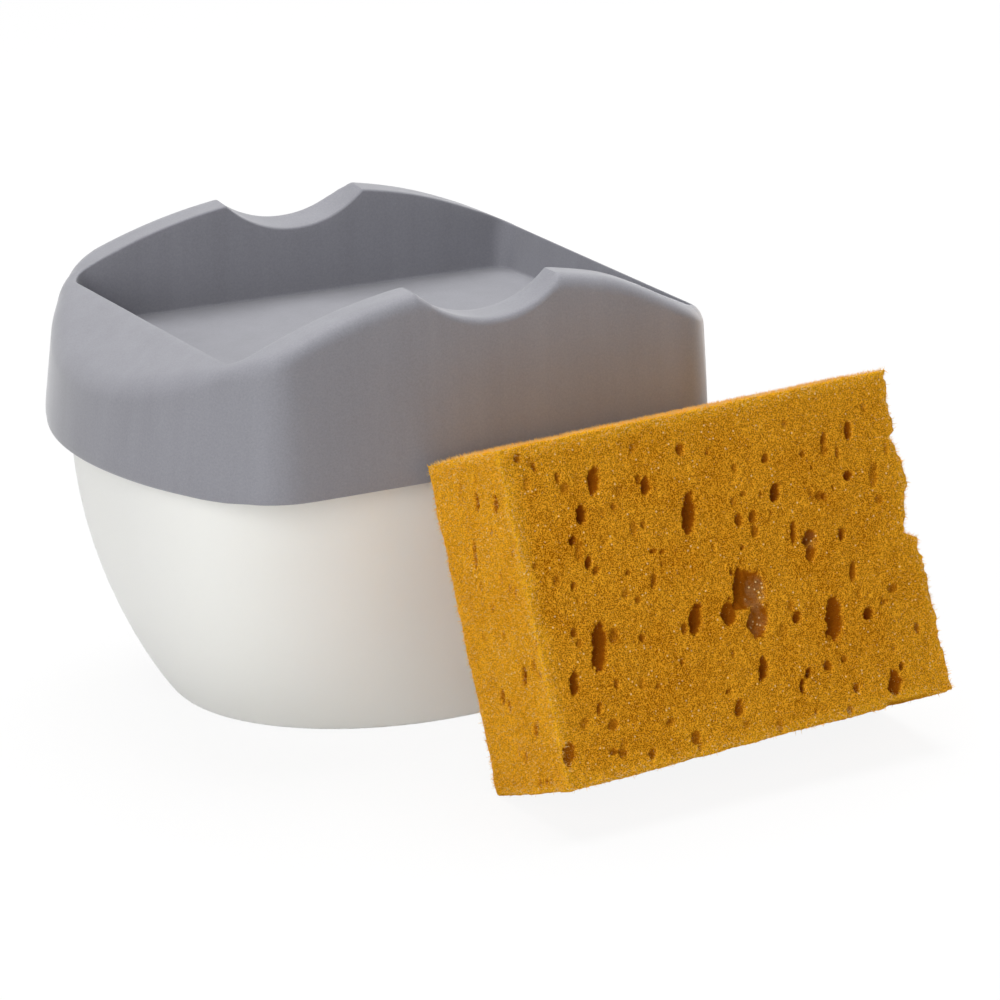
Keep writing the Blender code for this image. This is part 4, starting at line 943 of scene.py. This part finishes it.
def line_of_sight():
    """The camera's direction, its right and its up."""
    level = math.cos(CAMERA_ELEVATION)
    ahead = Vector((
        math.sin(CAMERA_AZIMUTH) * level, math.cos(CAMERA_AZIMUTH) * level,
        -math.sin(CAMERA_ELEVATION)))
    right = Vector((math.cos(CAMERA_AZIMUTH), -math.sin(CAMERA_AZIMUTH), 0.0))
    return ahead, right, right.cross(ahead)


def sight(across, down):
    """The direction in which the camera sees a pixel of the photograph."""
    ahead, right, up = line_of_sight()
    focal = CAMERA_LENS / CAMERA_SENSOR * PHOTO_SIZE
    return (ahead + right * ((across - PHOTO_SIZE / 2) / focal)
            - up * ((down - PHOTO_SIZE / 2) / focal))


# Settings that a user would change

def length(name, description, default):
    return bpy.props.FloatProperty(
        name=name, description=description, default=default, min=0.0, subtype="DISTANCE",
        unit="LENGTH", precision=5)


def colour(name, description, default):
    return bpy.props.FloatVectorProperty(
        name=name, description=description, default=default, size=3, min=0.0, max=1.0,
        subtype="COLOR")


def share(name, description, default):
    return bpy.props.FloatProperty(
        name=name, description=description, default=default, min=0.0, max=1.0,
        subtype="FACTOR")


def watts(name, description, default):
    return bpy.props.FloatProperty(
        name=name, description=description, default=default, min=0.0, subtype="POWER",
        unit="POWER")


class LidSettings(bpy.types.PropertyGroup):
    """Sizes and finish of the lid."""
    tray_half_length: length("Tray half length", "From the middle to the tray's end", 0.0520)
    tray_half_width: length("Tray half width", "From the middle to the tray's side", 0.0390)
    tray_depth: length("Tray depth", "From the arch's peak to the tray's floor", 0.0223)
    tray_corner_radius: length("Tray corner", "Corner radius seen from above", 0.0040)
    wall: length("Wall", "Thickness of the moulding", 0.0022)
    end_rim: length("End rim", "Rim width at the middle of an end", 0.0166)
    side_rim: length("Side rim", "Rim width along the sides", 0.0105)
    end_radius: length("End radius", "Radius of the bowed ends", 0.0701)
    corner_radius: length("Corner radius", "Radius between side and end", 0.0131)
    top_fillet: length("Top fillet", "Rounding between wall and rim", 0.0033)
    arch_radius: length("Arch radius", "Radius of the arched rim", 0.1175)
    scoop_half_width: length("Scoop half width", "Half the finger scoop's width", 0.0161)
    scoop_depth: length("Scoop depth", "How far the scoop dips", 0.0076)
    press_travel: length("Press travel", "How far the lid can be pressed", PRESS_TRAVEL)
    colour: colour("Colour", "Colour of the soft-touch plastic", (0.266, 0.266, 0.296))
    roughness: share("Roughness", "How matte the lid is", 0.62)
    sheen: share("Sheen", "How much the edges catch the light", 0.5)
    dust: share("Dust", "How much the pale specks show", 0.15)


class TubSettings(bpy.types.PropertyGroup):
    """Sizes and finish of the soap tub."""
    foot_half_length: length("Foot half length", "Half the foot's length", 0.0457)
    foot_half_width: length("Foot half width", "Half the foot's width", 0.0362)
    wall: length("Wall", "Thickness of the moulding", 0.0020)
    colour: colour("Colour", "Colour of the milky plastic", (0.975, 0.96, 0.89))
    roughness: share("Roughness", "How satin the tub is", 0.38)
    glow_depth: length("Glow depth", "How far light spreads inside the plastic", 0.0012)


class SpongeSettings(bpy.types.PropertyGroup):
    """Sizes and colours of the sponge."""
    length: length("Length", "Along the front", 0.0900)
    height: length("Height", "Up the front", 0.0646)
    thickness: length("Thickness", "From front to back", 0.0279)
    cell_size: length("Cell size", "Width of one foam cell", 0.00034)
    fibre_length: length("Fibre length", "How far loose struts stand out", 0.0010)
    fibres_per_mm2: bpy.props.FloatProperty(
        name="Fibres", description="Loose struts on each square millimetre", default=3.0,
        min=0.0)
    colour: colour("Colour", "Colour of the struts", (0.485, 0.158, 0.002))
    # Painted shade: the colour between the struts stands in for the shade inside the foam's cells
    shade: colour("Cell colour", "Colour between the struts", (0.17, 0.032, 0.0))
    highlight: colour("Highlight colour", "Colour of struts in the light", (0.94, 0.44, 0.024))
    # Painted shade: the colour inside the deep pores stands in for the shade there
    pore: colour("Pore colour", "Colour inside the deep pores", (0.30, 0.082, 0.003))
    skin: colour("Skin colour", "Colour of the torn skin in a pore", (0.34, 0.140, 0.04))
    # Painted glow: the paler colour along the edges, on the ends and on the top face, standing in
    # for light
    rind: colour("Rind colour", "Colour along the cut edges", (0.97, 0.485, 0.022))
    # Painted glints: the colour of the brightest spots, standing in for highlights
    glint: colour("Glint colour", "Colour of the brightest struts", (1.0, 0.76, 0.34))


class StageSettings(bpy.types.PropertyGroup):
    """Floor and light."""
    floor_colour: colour("Floor colour", "Colour of the paper", (0.64, 0.64, 0.64))
    shadow: share("Shadow", "How much of the shadow the camera sees", 0.10)
    top_power: watts("Top power", "Power of the soft light overhead", 24.3)
    side_power: watts("Side power", "Power of the soft light from the left", 8.8)
    back_power: watts("Back power", "Power of the soft light behind the right end", 7.5)
    near_power: watts("Near power", "Power of the low light close to the left end", 1.4)
    ambient: share("Ambient", "Strength of the light from all round", 0.05)


# Operators

class SOAP_OT_lid(bpy.types.Operator):
    """Build the lid with its tray, arched rim and finger scoops"""
    bl_idname = "soap.lid"
    bl_label = "Lid"

    def execute(self, context):
        lid = context.scene.soap_lid
        shape = LidShape(lid)
        columns = [shape.column(ray) for ray in shape.stations()]
        item = loft("lid_shell", zip(*columns))
        for place in (-LEG_OFFSET, LEG_OFFSET):
            leg = post(
                "guide_leg", LEG_RADIUS, LEG_BOTTOM_Z, shape.tray_under + LEG_WELD, place)
            boolean(item, leg, "UNION")
        dress(smoothed(item), lid_finish(lid), "lid", "grey_plastic", "press_lid")
        return {"FINISHED"}


class SOAP_OT_tub(bpy.types.Operator):
    """Build the soap tub, which swells from an oval foot to a squarer rim"""
    bl_idname = "soap.tub"
    bl_label = "Tub"

    def execute(self, context):
        tub = context.scene.soap_tub
        lid = context.scene.soap_lid
        outline = LidShape(lid)
        finish = tub_finish(tub)
        item = link("tub_shell", bpy.data.meshes.new("tub_shell"))
        shaped(item, tub_tree(finish), {
            "Foot half length": tub.foot_half_length, "Foot half width": tub.foot_half_width,
            "Rim half length": outline.half_length - lid.wall - TUB_RIM_CLEARANCE[0],
            "Rim half width": outline.half_width - lid.wall - TUB_RIM_CLEARANCE[1],
            "Foot height": TUB_FOOT_Z, "Rim height": TUB_TOP_Z,
            "Foot fillet": TUB_FOOT_FILLET})
        wall = item.modifiers.new("wall", "SOLIDIFY")
        wall.thickness = tub.wall
        wall.offset = -1.0
        wall.use_even_offset = True
        applied(item)
        recess = oval_block(
            "pad_recess", tub.foot_half_length - PAD_INSET + SEAT_GAP,
            tub.foot_half_width - PAD_INSET + SEAT_GAP, TUB_FOOT_Z - SEAT_GAP,
            PAD_TOP_Z + SEAT_GAP)
        boolean(item, recess, "DIFFERENCE")
        dress(smoothed(item), finish, "tub", "milky_plastic", "reservoir_tub")
        return {"FINISHED"}


def tub_tree(finish):
    """A node tree that lays a grid over the tub's floor and wall."""
    graph, given = new_tree("tub_shape", [(name, "Float") for name in (
        "Foot half length", "Foot half width", "Rim half length", "Rim half width",
        "Foot height", "Rim height", "Foot fillet")])
    foot_x, foot_y, rim_x, rim_y, low, high, fillet = given

    rows = TUB_FLOOR_LEVELS + TUB_LEVELS
    grid = graph.add("GeometryNodeMeshGrid", {}, {
        "Size X": 1.0, "Size Y": 1.0, "Vertices X": TUB_STATIONS + 1, "Vertices Y": rows + 1})
    turn = (graph.part("X", "GeometryNodeInputPosition") + 0.5) * math.tau
    level = (graph.part("Y", "GeometryNodeInputPosition") + 0.5) * rows
    spread = (level / TUB_FLOOR_LEVELS).lowest(1.0)
    climb = ((level - TUB_FLOOR_LEVELS) / TUB_LEVELS).highest(0.0)
    rise = climb ** TUB_LEVEL_POWER * (high - low)
    share_up = ((rise + low) / (high * TUB_BULGE_SHARE)).lowest(1.0)
    swell = (1.0 - (1.0 - share_up) ** TUB_BULGE_POWER) ** (1.0 / TUB_BULGE_ROOT)
    away = 1.0 - (rise / fillet).lowest(1.0)
    inset = fillet * (1.0 - (1.0 - away * away) ** 0.5)
    power = 2.0 / (TUB_EXPONENTS[0] + (TUB_EXPONENTS[1] - TUB_EXPONENTS[0]) * swell)
    across, along = turn.maths("COSINE", turn), turn.maths("SINE", turn)
    x = (foot_x + (rim_x - foot_x) * swell - inset) * spread
    y = (foot_y + (rim_y - foot_y) * swell - inset) * spread
    place = graph.add("ShaderNodeCombineXYZ", {}, {
        0: x * across.sign() * abs(across) ** power, 1: y * along.sign() * abs(along) ** power,
        2: rise + low})
    moved = graph.add("GeometryNodeSetPosition", {}, {"Geometry": grid, "Position": place})
    welded = graph.add("GeometryNodeMergeByDistance", {}, {
        "Geometry": moved, "Distance": WELD_DISTANCE})
    return closed_tree(graph, welded, finish)


# Sponge

def lattice_noise(points, cell, seed):
    """Smooth random values from -1 to 1 that change over about one cell."""
    table = np.random.default_rng(seed).uniform(-1.0, 1.0, NOISE_ROWS)
    scaled = points / cell
    base = np.floor(scaled).astype(np.int64)
    soft = eased(scaled - base)
    total = np.zeros(len(points))
    for corner in itertools.product((0, 1), repeat=3):
        key = (base + corner) @ np.array(NOISE_FACTORS)
        weight = np.prod(np.where(corner, soft, 1.0 - soft), axis=1)
        total += table[(key ^ (key >> NOISE_SHIFT)) % NOISE_ROWS] * weight
    return total


def layered_noise(points, layers, seed):
    """Smooth noises on top of each other, from their strengths and cells in mm."""
    return sum(
        strength * lattice_noise(points, cell * MM, seed + number)
        for number, (strength, cell) in enumerate(layers))


def other_axes(axis):
    return [other for other in range(3) if other != axis]


def block_lattice(counts):
    """The surface of a block of cells: whole-number corners, and faces wound for a mirrored y."""
    faces = []
    for axis in range(3):
        first, second = (axis + 1) % 3, (axis + 2) % 3
        u, v = np.meshgrid(np.arange(counts[first]), np.arange(counts[second]), indexing="ij")
        for side in (0, 1):
            corners = []
            for du, dv in ((0, 0), (1, 0), (1, 1), (0, 1)):
                corner = np.zeros((u.size, 3), int)
                corner[:, axis] = side * counts[axis]
                corner[:, first] = (u + du).ravel()
                corner[:, second] = (v + dv).ravel()
                corners.append(corner)
            faces.append(np.stack(corners[::-1] if side else corners, axis=1))
    faces = np.concatenate(faces)
    points, index = np.unique(faces.reshape(-1, 3), axis=0, return_inverse=True)
    return points, index.reshape(-1, 4)


class Block:
    """The sponge's surface: places in its own frame, normals, and how hollow each point is."""

    def __init__(self, sponge):
        self.sides = np.array([sponge.length, sponge.thickness, sponge.height])
        counts = np.round(self.sides / SPONGE_STEP).astype(int)
        corners, self.faces = block_lattice(counts)
        flat = corners / counts * self.sides
        radius = SPONGE_EDGE_RADIUS
        core = np.clip(flat, radius, self.sides - radius)
        away = flat - core
        self.normals = away / np.linalg.norm(away, axis=1, keepdims=True)
        self.flat = flat
        self.places = core + self.normals * radius
        self.hollow = np.zeros(len(flat))
        self.torn = np.zeros(len(flat))
        self.carved = np.zeros(len(flat))

    def seen(self, axis, side, across, down):
        """Where a pixel of the photograph falls on one face, along its other two axes."""
        first, second = other_axes(axis)
        corners = np.zeros((3, 3))
        corners[:, axis] = side * self.sides[axis]
        corners[1, first] = self.sides[first]
        corners[2, second] = self.sides[second]
        start, along, up = self.standing(corners)
        columns = np.array([along - start, up - start, -np.array(sight(across, down))]).T
        shares = np.linalg.solve(columns, np.array(CAMERA_PLACE) - start)
        return shares[:2] * self.sides[[first, second]]

    def photographed(self, axis, side, spot):
        """A spot of the photograph on one face: its middle, half sizes, amount and tilt."""
        across, down, wide, tall, amount = spot
        centre = self.seen(axis, side, across, down)
        return axis, side, centre, (wide * PIXEL[0], tall * PIXEL[1]), amount, PORE_TILT

    def inside(self, axis, side, centre, half, tilt, seed):
        """The points near a pore, and how far inside its ragged oval each one is."""
        first, second = other_axes(axis)
        reach = max(half) * PORE_MARGIN
        near = (
            (np.abs(self.flat[:, axis] - side * self.sides[axis]) < FACE_REACH)
            & (np.abs(self.flat[:, first] - centre[0]) < reach)
            & (np.abs(self.flat[:, second] - centre[1]) < reach))
        spot = self.flat[near]
        wobble = 1.0 + layered_noise(spot, PORE_WOBBLE, seed)
        up = spot[:, second] - centre[1]
        across = spot[:, first] - centre[0] - up * tilt
        return near, 1.0 - (
            (across / (half[0] * wobble)) ** 2 + (up / (half[1] * wobble)) ** 2)

    def carve(self, axis, side, centre, half, deep, tilt, seed):
        """Press one pore into a face. Centre and half sizes are on the face's other two axes."""
        near, inside = self.inside(axis, side, centre, half, tilt, seed)
        bowl = np.sqrt(np.clip(inside, 0.0, 1.0))
        self.carved[near] = np.maximum(self.carved[near], PORE_DEPTH * deep ** 2 * bowl)
        self.hollow[near] = np.maximum(
            self.hollow[near], deep * np.clip(inside / PORE_RIM, 0.0, 1.0))

    def tear(self, axis, side, centre, half, shown, tilt, seed):
        """Stretch torn skin over part of a pore, which it makes shallower."""
        near, inside = self.inside(axis, side, centre, half, tilt, seed)
        self.torn[near] = np.maximum(
            self.torn[near], shown * np.clip(inside / TORN_SKIN_RIM, 0.0, 1.0))
        self.carved[near] = np.maximum(
            self.carved[near],
            PORE_DEPTH * TORN_SKIN_DEPTH * np.sqrt(np.clip(inside, 0.0, 1.0)))

    def scatter(self, seed):
        """Small pores at random places on every face."""
        chance = np.random.default_rng(seed)
        for axis, side in itertools.product(range(3), (0, 1)):
            first, second = other_axes(axis)
            area = self.sides[first] * self.sides[second] / MM ** 2
            for _ in range(int(area * SMALL_PORES_PER_MM2)):
                centre = chance.uniform(*SMALL_PORE_PLACES, 2) * self.sides[[first, second]]
                width = chance.uniform(*SMALL_PORE_WIDTHS) * MM
                tall = width * chance.uniform(*SMALL_PORE_STRETCHES)
                half = (width, tall) if axis != 2 else (tall, width)
                self.carve(
                    axis, side, centre, half, chance.uniform(*SMALL_PORE_DEPTHS),
                    chance.uniform(*SMALL_PORE_TILTS), seed + 1)
                if (axis, side) == (1, 0) and chance.uniform() < BACK_PORE_CHANCE:
                    half = (width * BACK_PORE_GROWTH[0], tall * BACK_PORE_GROWTH[1])
                    self.carve(
                        axis, side, centre, half, chance.uniform(*BACK_PORE_DEPTHS),
                        BACK_PORE_TILT, seed + 2)

    def finish(self):
        """Move the points: pores inwards, grain both ways."""
        grain = layered_noise(self.flat, FACE_GRAIN, FACE_GRAIN_SEED) * MM
        self.places += self.normals * (grain - self.carved)[:, None]
        share = self.flat / self.sides
        near_end = np.clip(1.0 - (self.sides[0] - self.flat[:, 0]) / END_REACH, 0.0, 1.0)
        near_front = np.clip(1.0 - (1.0 - share[:, 1]) * END_FRONT_SLOPE, 0.0, 1.0)
        across = self.flat * (0.0, 1.0, 1.0)
        ragged = layered_noise(across, END_GRAIN, END_GRAIN_SEED) * MM
        heights, depths = zip(*END_CUT)
        cut = np.interp(share[:, 2], heights, depths) * MM * near_front
        self.places[:, 0] += near_end ** 2 * (ragged - cut)
        begin, opening, nick, reach = FOOT_NICK
        self.places[:, 2] += nick * near_front * (
            np.clip((share[:, 0] - begin) / opening, 0.0, 1.0)
            * np.clip((1.0 - share[:, 0]) / (1.0 - begin), 0.0, 1.0)
            * np.clip(1.0 - self.flat[:, 2] / reach, 0.0, 1.0))

    def rind(self):
        """How much painted glow each point gets, from 0 to 1: most along the block's edges and on
        its ends, with the top face and bands near the top, the foot and the right end also drawn
        paler.
        """
        far = self.sides - self.flat
        gaps = np.sort(np.minimum(self.flat, far), axis=1)
        low = fade(self.flat[:, 2], FOOT_GLOW[1])
        right = RIGHT_GLOW[0] + RIGHT_FOOT_GLOW * low
        return np.maximum.reduce([
            fade(gaps[:, 1], EDGE_GLOW_REACH),
            np.abs(self.normals[:, 0]) * END_FACE_GLOW, self.normals[:, 2] * TOP_FACE_GLOW,
            TOP_GLOW[0] * fade(far[:, 2], TOP_GLOW[1]), FOOT_GLOW[0] * low,
            right * fade(far[:, 0], RIGHT_GLOW[1])])

    def standing(self, places):
        """Places in the row frame: skewed as the block was cut, leaning and turned."""
        share = places / self.sides
        rise = 1.0 - (1.0 - share[:, 1]) * (1.0 - share[:, 2])
        skewed = np.stack([
            places[:, 0] - share[:, 2] * SPONGE_TOP_SHIFT,
            -places[:, 1],
            places[:, 2] + share[:, 0] * rise * SPONGE_RIGHT_RISE], axis=1)
        turn = Euler((-SPONGE_LEAN, 0.0, SPONGE_TURN)).to_matrix()
        return skewed @ np.array(turn).T + np.array(SPONGE_FOOT)


def fibre_tree(finish):
    """A node tree that stands short struts on a surface at random, more where the painted glow
    is.
    """
    graph, given = new_tree("foam_fibres", (
        ("Geometry", "Geometry"), ("Fibre length", "Float"), ("Fibre radius", "Float"),
        ("Density", "Float"), ("Seed", "Int")))
    surface, depth, radius, density, seed = given
    rind = graph.add("GeometryNodeInputNamedAttribute", {"data_type": "FLOAT"}, {
        "Name": "rind"}).other("Attribute")
    height = graph.part("Z", "GeometryNodeInputPosition")
    facing = graph.part("Z", "GeometryNodeInputNormal")
    points = graph.add("GeometryNodeDistributePointsOnFaces", {}, {
        "Mesh": surface, "Seed": seed,
        "Density": density * (rind * FIBRE_CROWD[1] + FIBRE_CROWD[0]) * (
            height > FIBRE_LOWEST) * (facing > FIBRE_LEAST_FACING)})
    strut = graph.add("GeometryNodeMeshCone", {"fill_type": "NONE"}, {
        "Vertices": 3, "Radius Top": 0.0, "Radius Bottom": radius, "Depth": depth})
    upright = graph.add("FunctionNodeAlignRotationToVector", {"axis": "Z"}, {
        "Vector": points.other("Normal")})
    tilt = graph.add("FunctionNodeRandomValue", {"data_type": "FLOAT_VECTOR"}, {
        0: tuple(-part for part in FIBRE_TURN), 1: FIBRE_TURN, "Seed": seed})
    size = graph.add("FunctionNodeRandomValue", {"data_type": "FLOAT"}, {
        2: FIBRE_SIZES[0], 3: FIBRE_SIZES[1], "Seed": seed + 1},
        output=1) * (rind * FIBRE_GROWTH[1] + FIBRE_GROWTH[0])
    turned = graph.add("FunctionNodeRotateRotation", {"rotation_space": "LOCAL"}, {
        "Rotation": upright, "Rotate By": tilt})
    placed = graph.add("GeometryNodeInstanceOnPoints", {}, {
        "Points": points, "Instance": strut, "Rotation": turned, "Scale": size})
    return closed_tree(graph, placed, finish)


class SOAP_OT_sponge(bpy.types.Operator):
    """Build the sponge with its pores, grain and loose struts"""
    bl_idname = "soap.sponge"
    bl_label = "Sponge"

    def execute(self, context):
        sponge = context.scene.soap_sponge
        block = Block(sponge)
        for axis, side, pores in ((1, 1, FRONT_PORES), (0, 0, LEFT_END_PORES)):
            for number, pore in enumerate(pores):
                block.carve(*block.photographed(axis, side, pore), 2 * number)
        for spot in TORN_SKIN:
            block.tear(*block.photographed(1, 1, spot), spot[1])
        block.scatter(SCATTER_SEED)
        block.finish()
        mesh = bpy.data.meshes.new("foam_block")
        mesh.from_pydata(block.standing(block.places).tolist(), [], block.faces.tolist())
        marks = (("hollow", block.hollow), ("rind", block.rind()), ("torn", block.torn))
        for name, values in marks:
            layer = mesh.attributes.new(name, "FLOAT", "POINT")
            layer.data.foreach_set("value", values.astype(np.float32))
        item = link("foam_block", mesh)
        mesh.shade_smooth()
        dress(item, foam_finish(sponge), "wash_sponge", "sponge_foam", "sponge")

        finish = fibre_finish(sponge)
        fibres = link("foam_fibres", mesh.copy())
        shaped(fibres, fibre_tree(finish), {
            "Fibre length": sponge.fibre_length, "Fibre radius": FIBRE_RADIUS,
            "Density": sponge.fibres_per_mm2 / MM ** 2, "Seed": FIBRE_SEED})
        dress(fibres, finish, "wash_sponge", "sponge_foam")
        return {"FINISHED"}


class SOAP_OT_pump(bpy.types.Operator):
    """Dress the cover, the pump and the seals, which keep the frame's shapes"""
    bl_idname = "soap.pump"
    bl_label = "Pump and cover"

    def execute(self, context):
        groups = [
            (slot, moulded_finish(name, tint, roughness, ior), nodes)
            for slot, name, tint, roughness, ior, nodes in MOULDED_GROUPS]
        groups.append(("spring_steel", steel_finish(), ("inlet_ball", "return_spring")))
        body_of = {
            node: body for body, nodes in frame["record"]["behaviour"]["bodies"].items()
            for node in nodes}
        for slot, finish, nodes in groups:
            for node in nodes:
                dress(merged_copy(node), finish, body_of[node], slot, node)
        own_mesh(bpy.data.objects["return_spring_smooth"])
        return {"FINISHED"}


def aimed(item, place, ahead):
    """Put a lamp or a camera at a place, looking ahead."""
    item.location = place
    item.rotation_euler = ahead.to_track_quat("-Z", "Y").to_euler()
    return item


class SOAP_OT_stage(bpy.types.Operator):
    """Set the white floor, the soft light and the camera"""
    bl_idname = "soap.stage"
    bl_label = "Stage"

    def execute(self, context):
        stage = context.scene.soap_stage
        scene = context.scene
        builder = bmesh.new()
        bmesh.ops.create_grid(builder, x_segments=8, y_segments=8, size=FLOOR_REACH)
        floor = built("floor", builder)
        floor.data.materials.append(floor_finish(stage))

        world = bpy.data.worlds.new("studio")
        scene.world = world
        world.use_nodes = True
        graph = Graph(world.node_tree)
        graph.fill(world.node_tree.nodes["Background"], {
            "Color": tint(WHITE),
            "Strength": stage.ambient + graph.plainly_seen() * (1.0 - stage.ambient)})

        for name, size, place in LAMPS:
            lamp = bpy.data.lights.new(name, "AREA")
            lamp.energy = getattr(stage, name + "_power")
            lamp.size = size
            aimed(link(name, lamp), place, Vector(LAMP_TARGET) - Vector(place))

        lens = bpy.data.cameras.new("camera")
        lens.lens = CAMERA_LENS
        lens.sensor_width = CAMERA_SENSOR
        lens.clip_start = CAMERA_CLIP_START
        scene.camera = aimed(link("camera", lens), CAMERA_PLACE, line_of_sight()[0])
        scene.view_settings.view_transform = "Standard"
        return {"FINISHED"}


OPERATORS = (SOAP_OT_lid, SOAP_OT_tub, SOAP_OT_pump, SOAP_OT_sponge, SOAP_OT_stage)
SETTINGS = {
    "soap_lid": LidSettings, "soap_tub": TubSettings, "soap_sponge": SpongeSettings,
    "soap_stage": StageSettings}


class SOAP_PT_panel(bpy.types.Panel):
    """The dispenser's settings and the buttons that build it"""
    bl_label = "Soap dispenser"
    bl_idname = "SOAP_PT_panel"
    bl_space_type = "VIEW_3D"
    bl_region_type = "UI"
    bl_category = "Soap dispenser"

    def draw(self, context):
        for operator in OPERATORS:
            self.layout.operator(operator.bl_idname)
        for name, group in SETTINGS.items():
            box = self.layout.box()
            box.label(text=group.__doc__)
            for setting in group.__annotations__:
                box.prop(getattr(context.scene, name), setting)


def register():
    for group in SETTINGS.values():
        bpy.utils.register_class(group)
    for kind in (*OPERATORS, SOAP_PT_panel):
        bpy.utils.register_class(kind)
    for name, group in SETTINGS.items():
        setattr(bpy.types.Scene, name, bpy.props.PointerProperty(type=group))


def unregister():
    for name in SETTINGS:
        delattr(bpy.types.Scene, name)
    for kind in (SOAP_PT_panel, *reversed(OPERATORS), *SETTINGS.values()):
        bpy.utils.unregister_class(kind)


def main():
    """Build every piece around the frame."""
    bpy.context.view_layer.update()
    register()
    for operator in OPERATORS:
        group, name = operator.bl_idname.split(".")
        getattr(getattr(bpy.ops, group), name)()


if __name__ == "__main__":
    main()
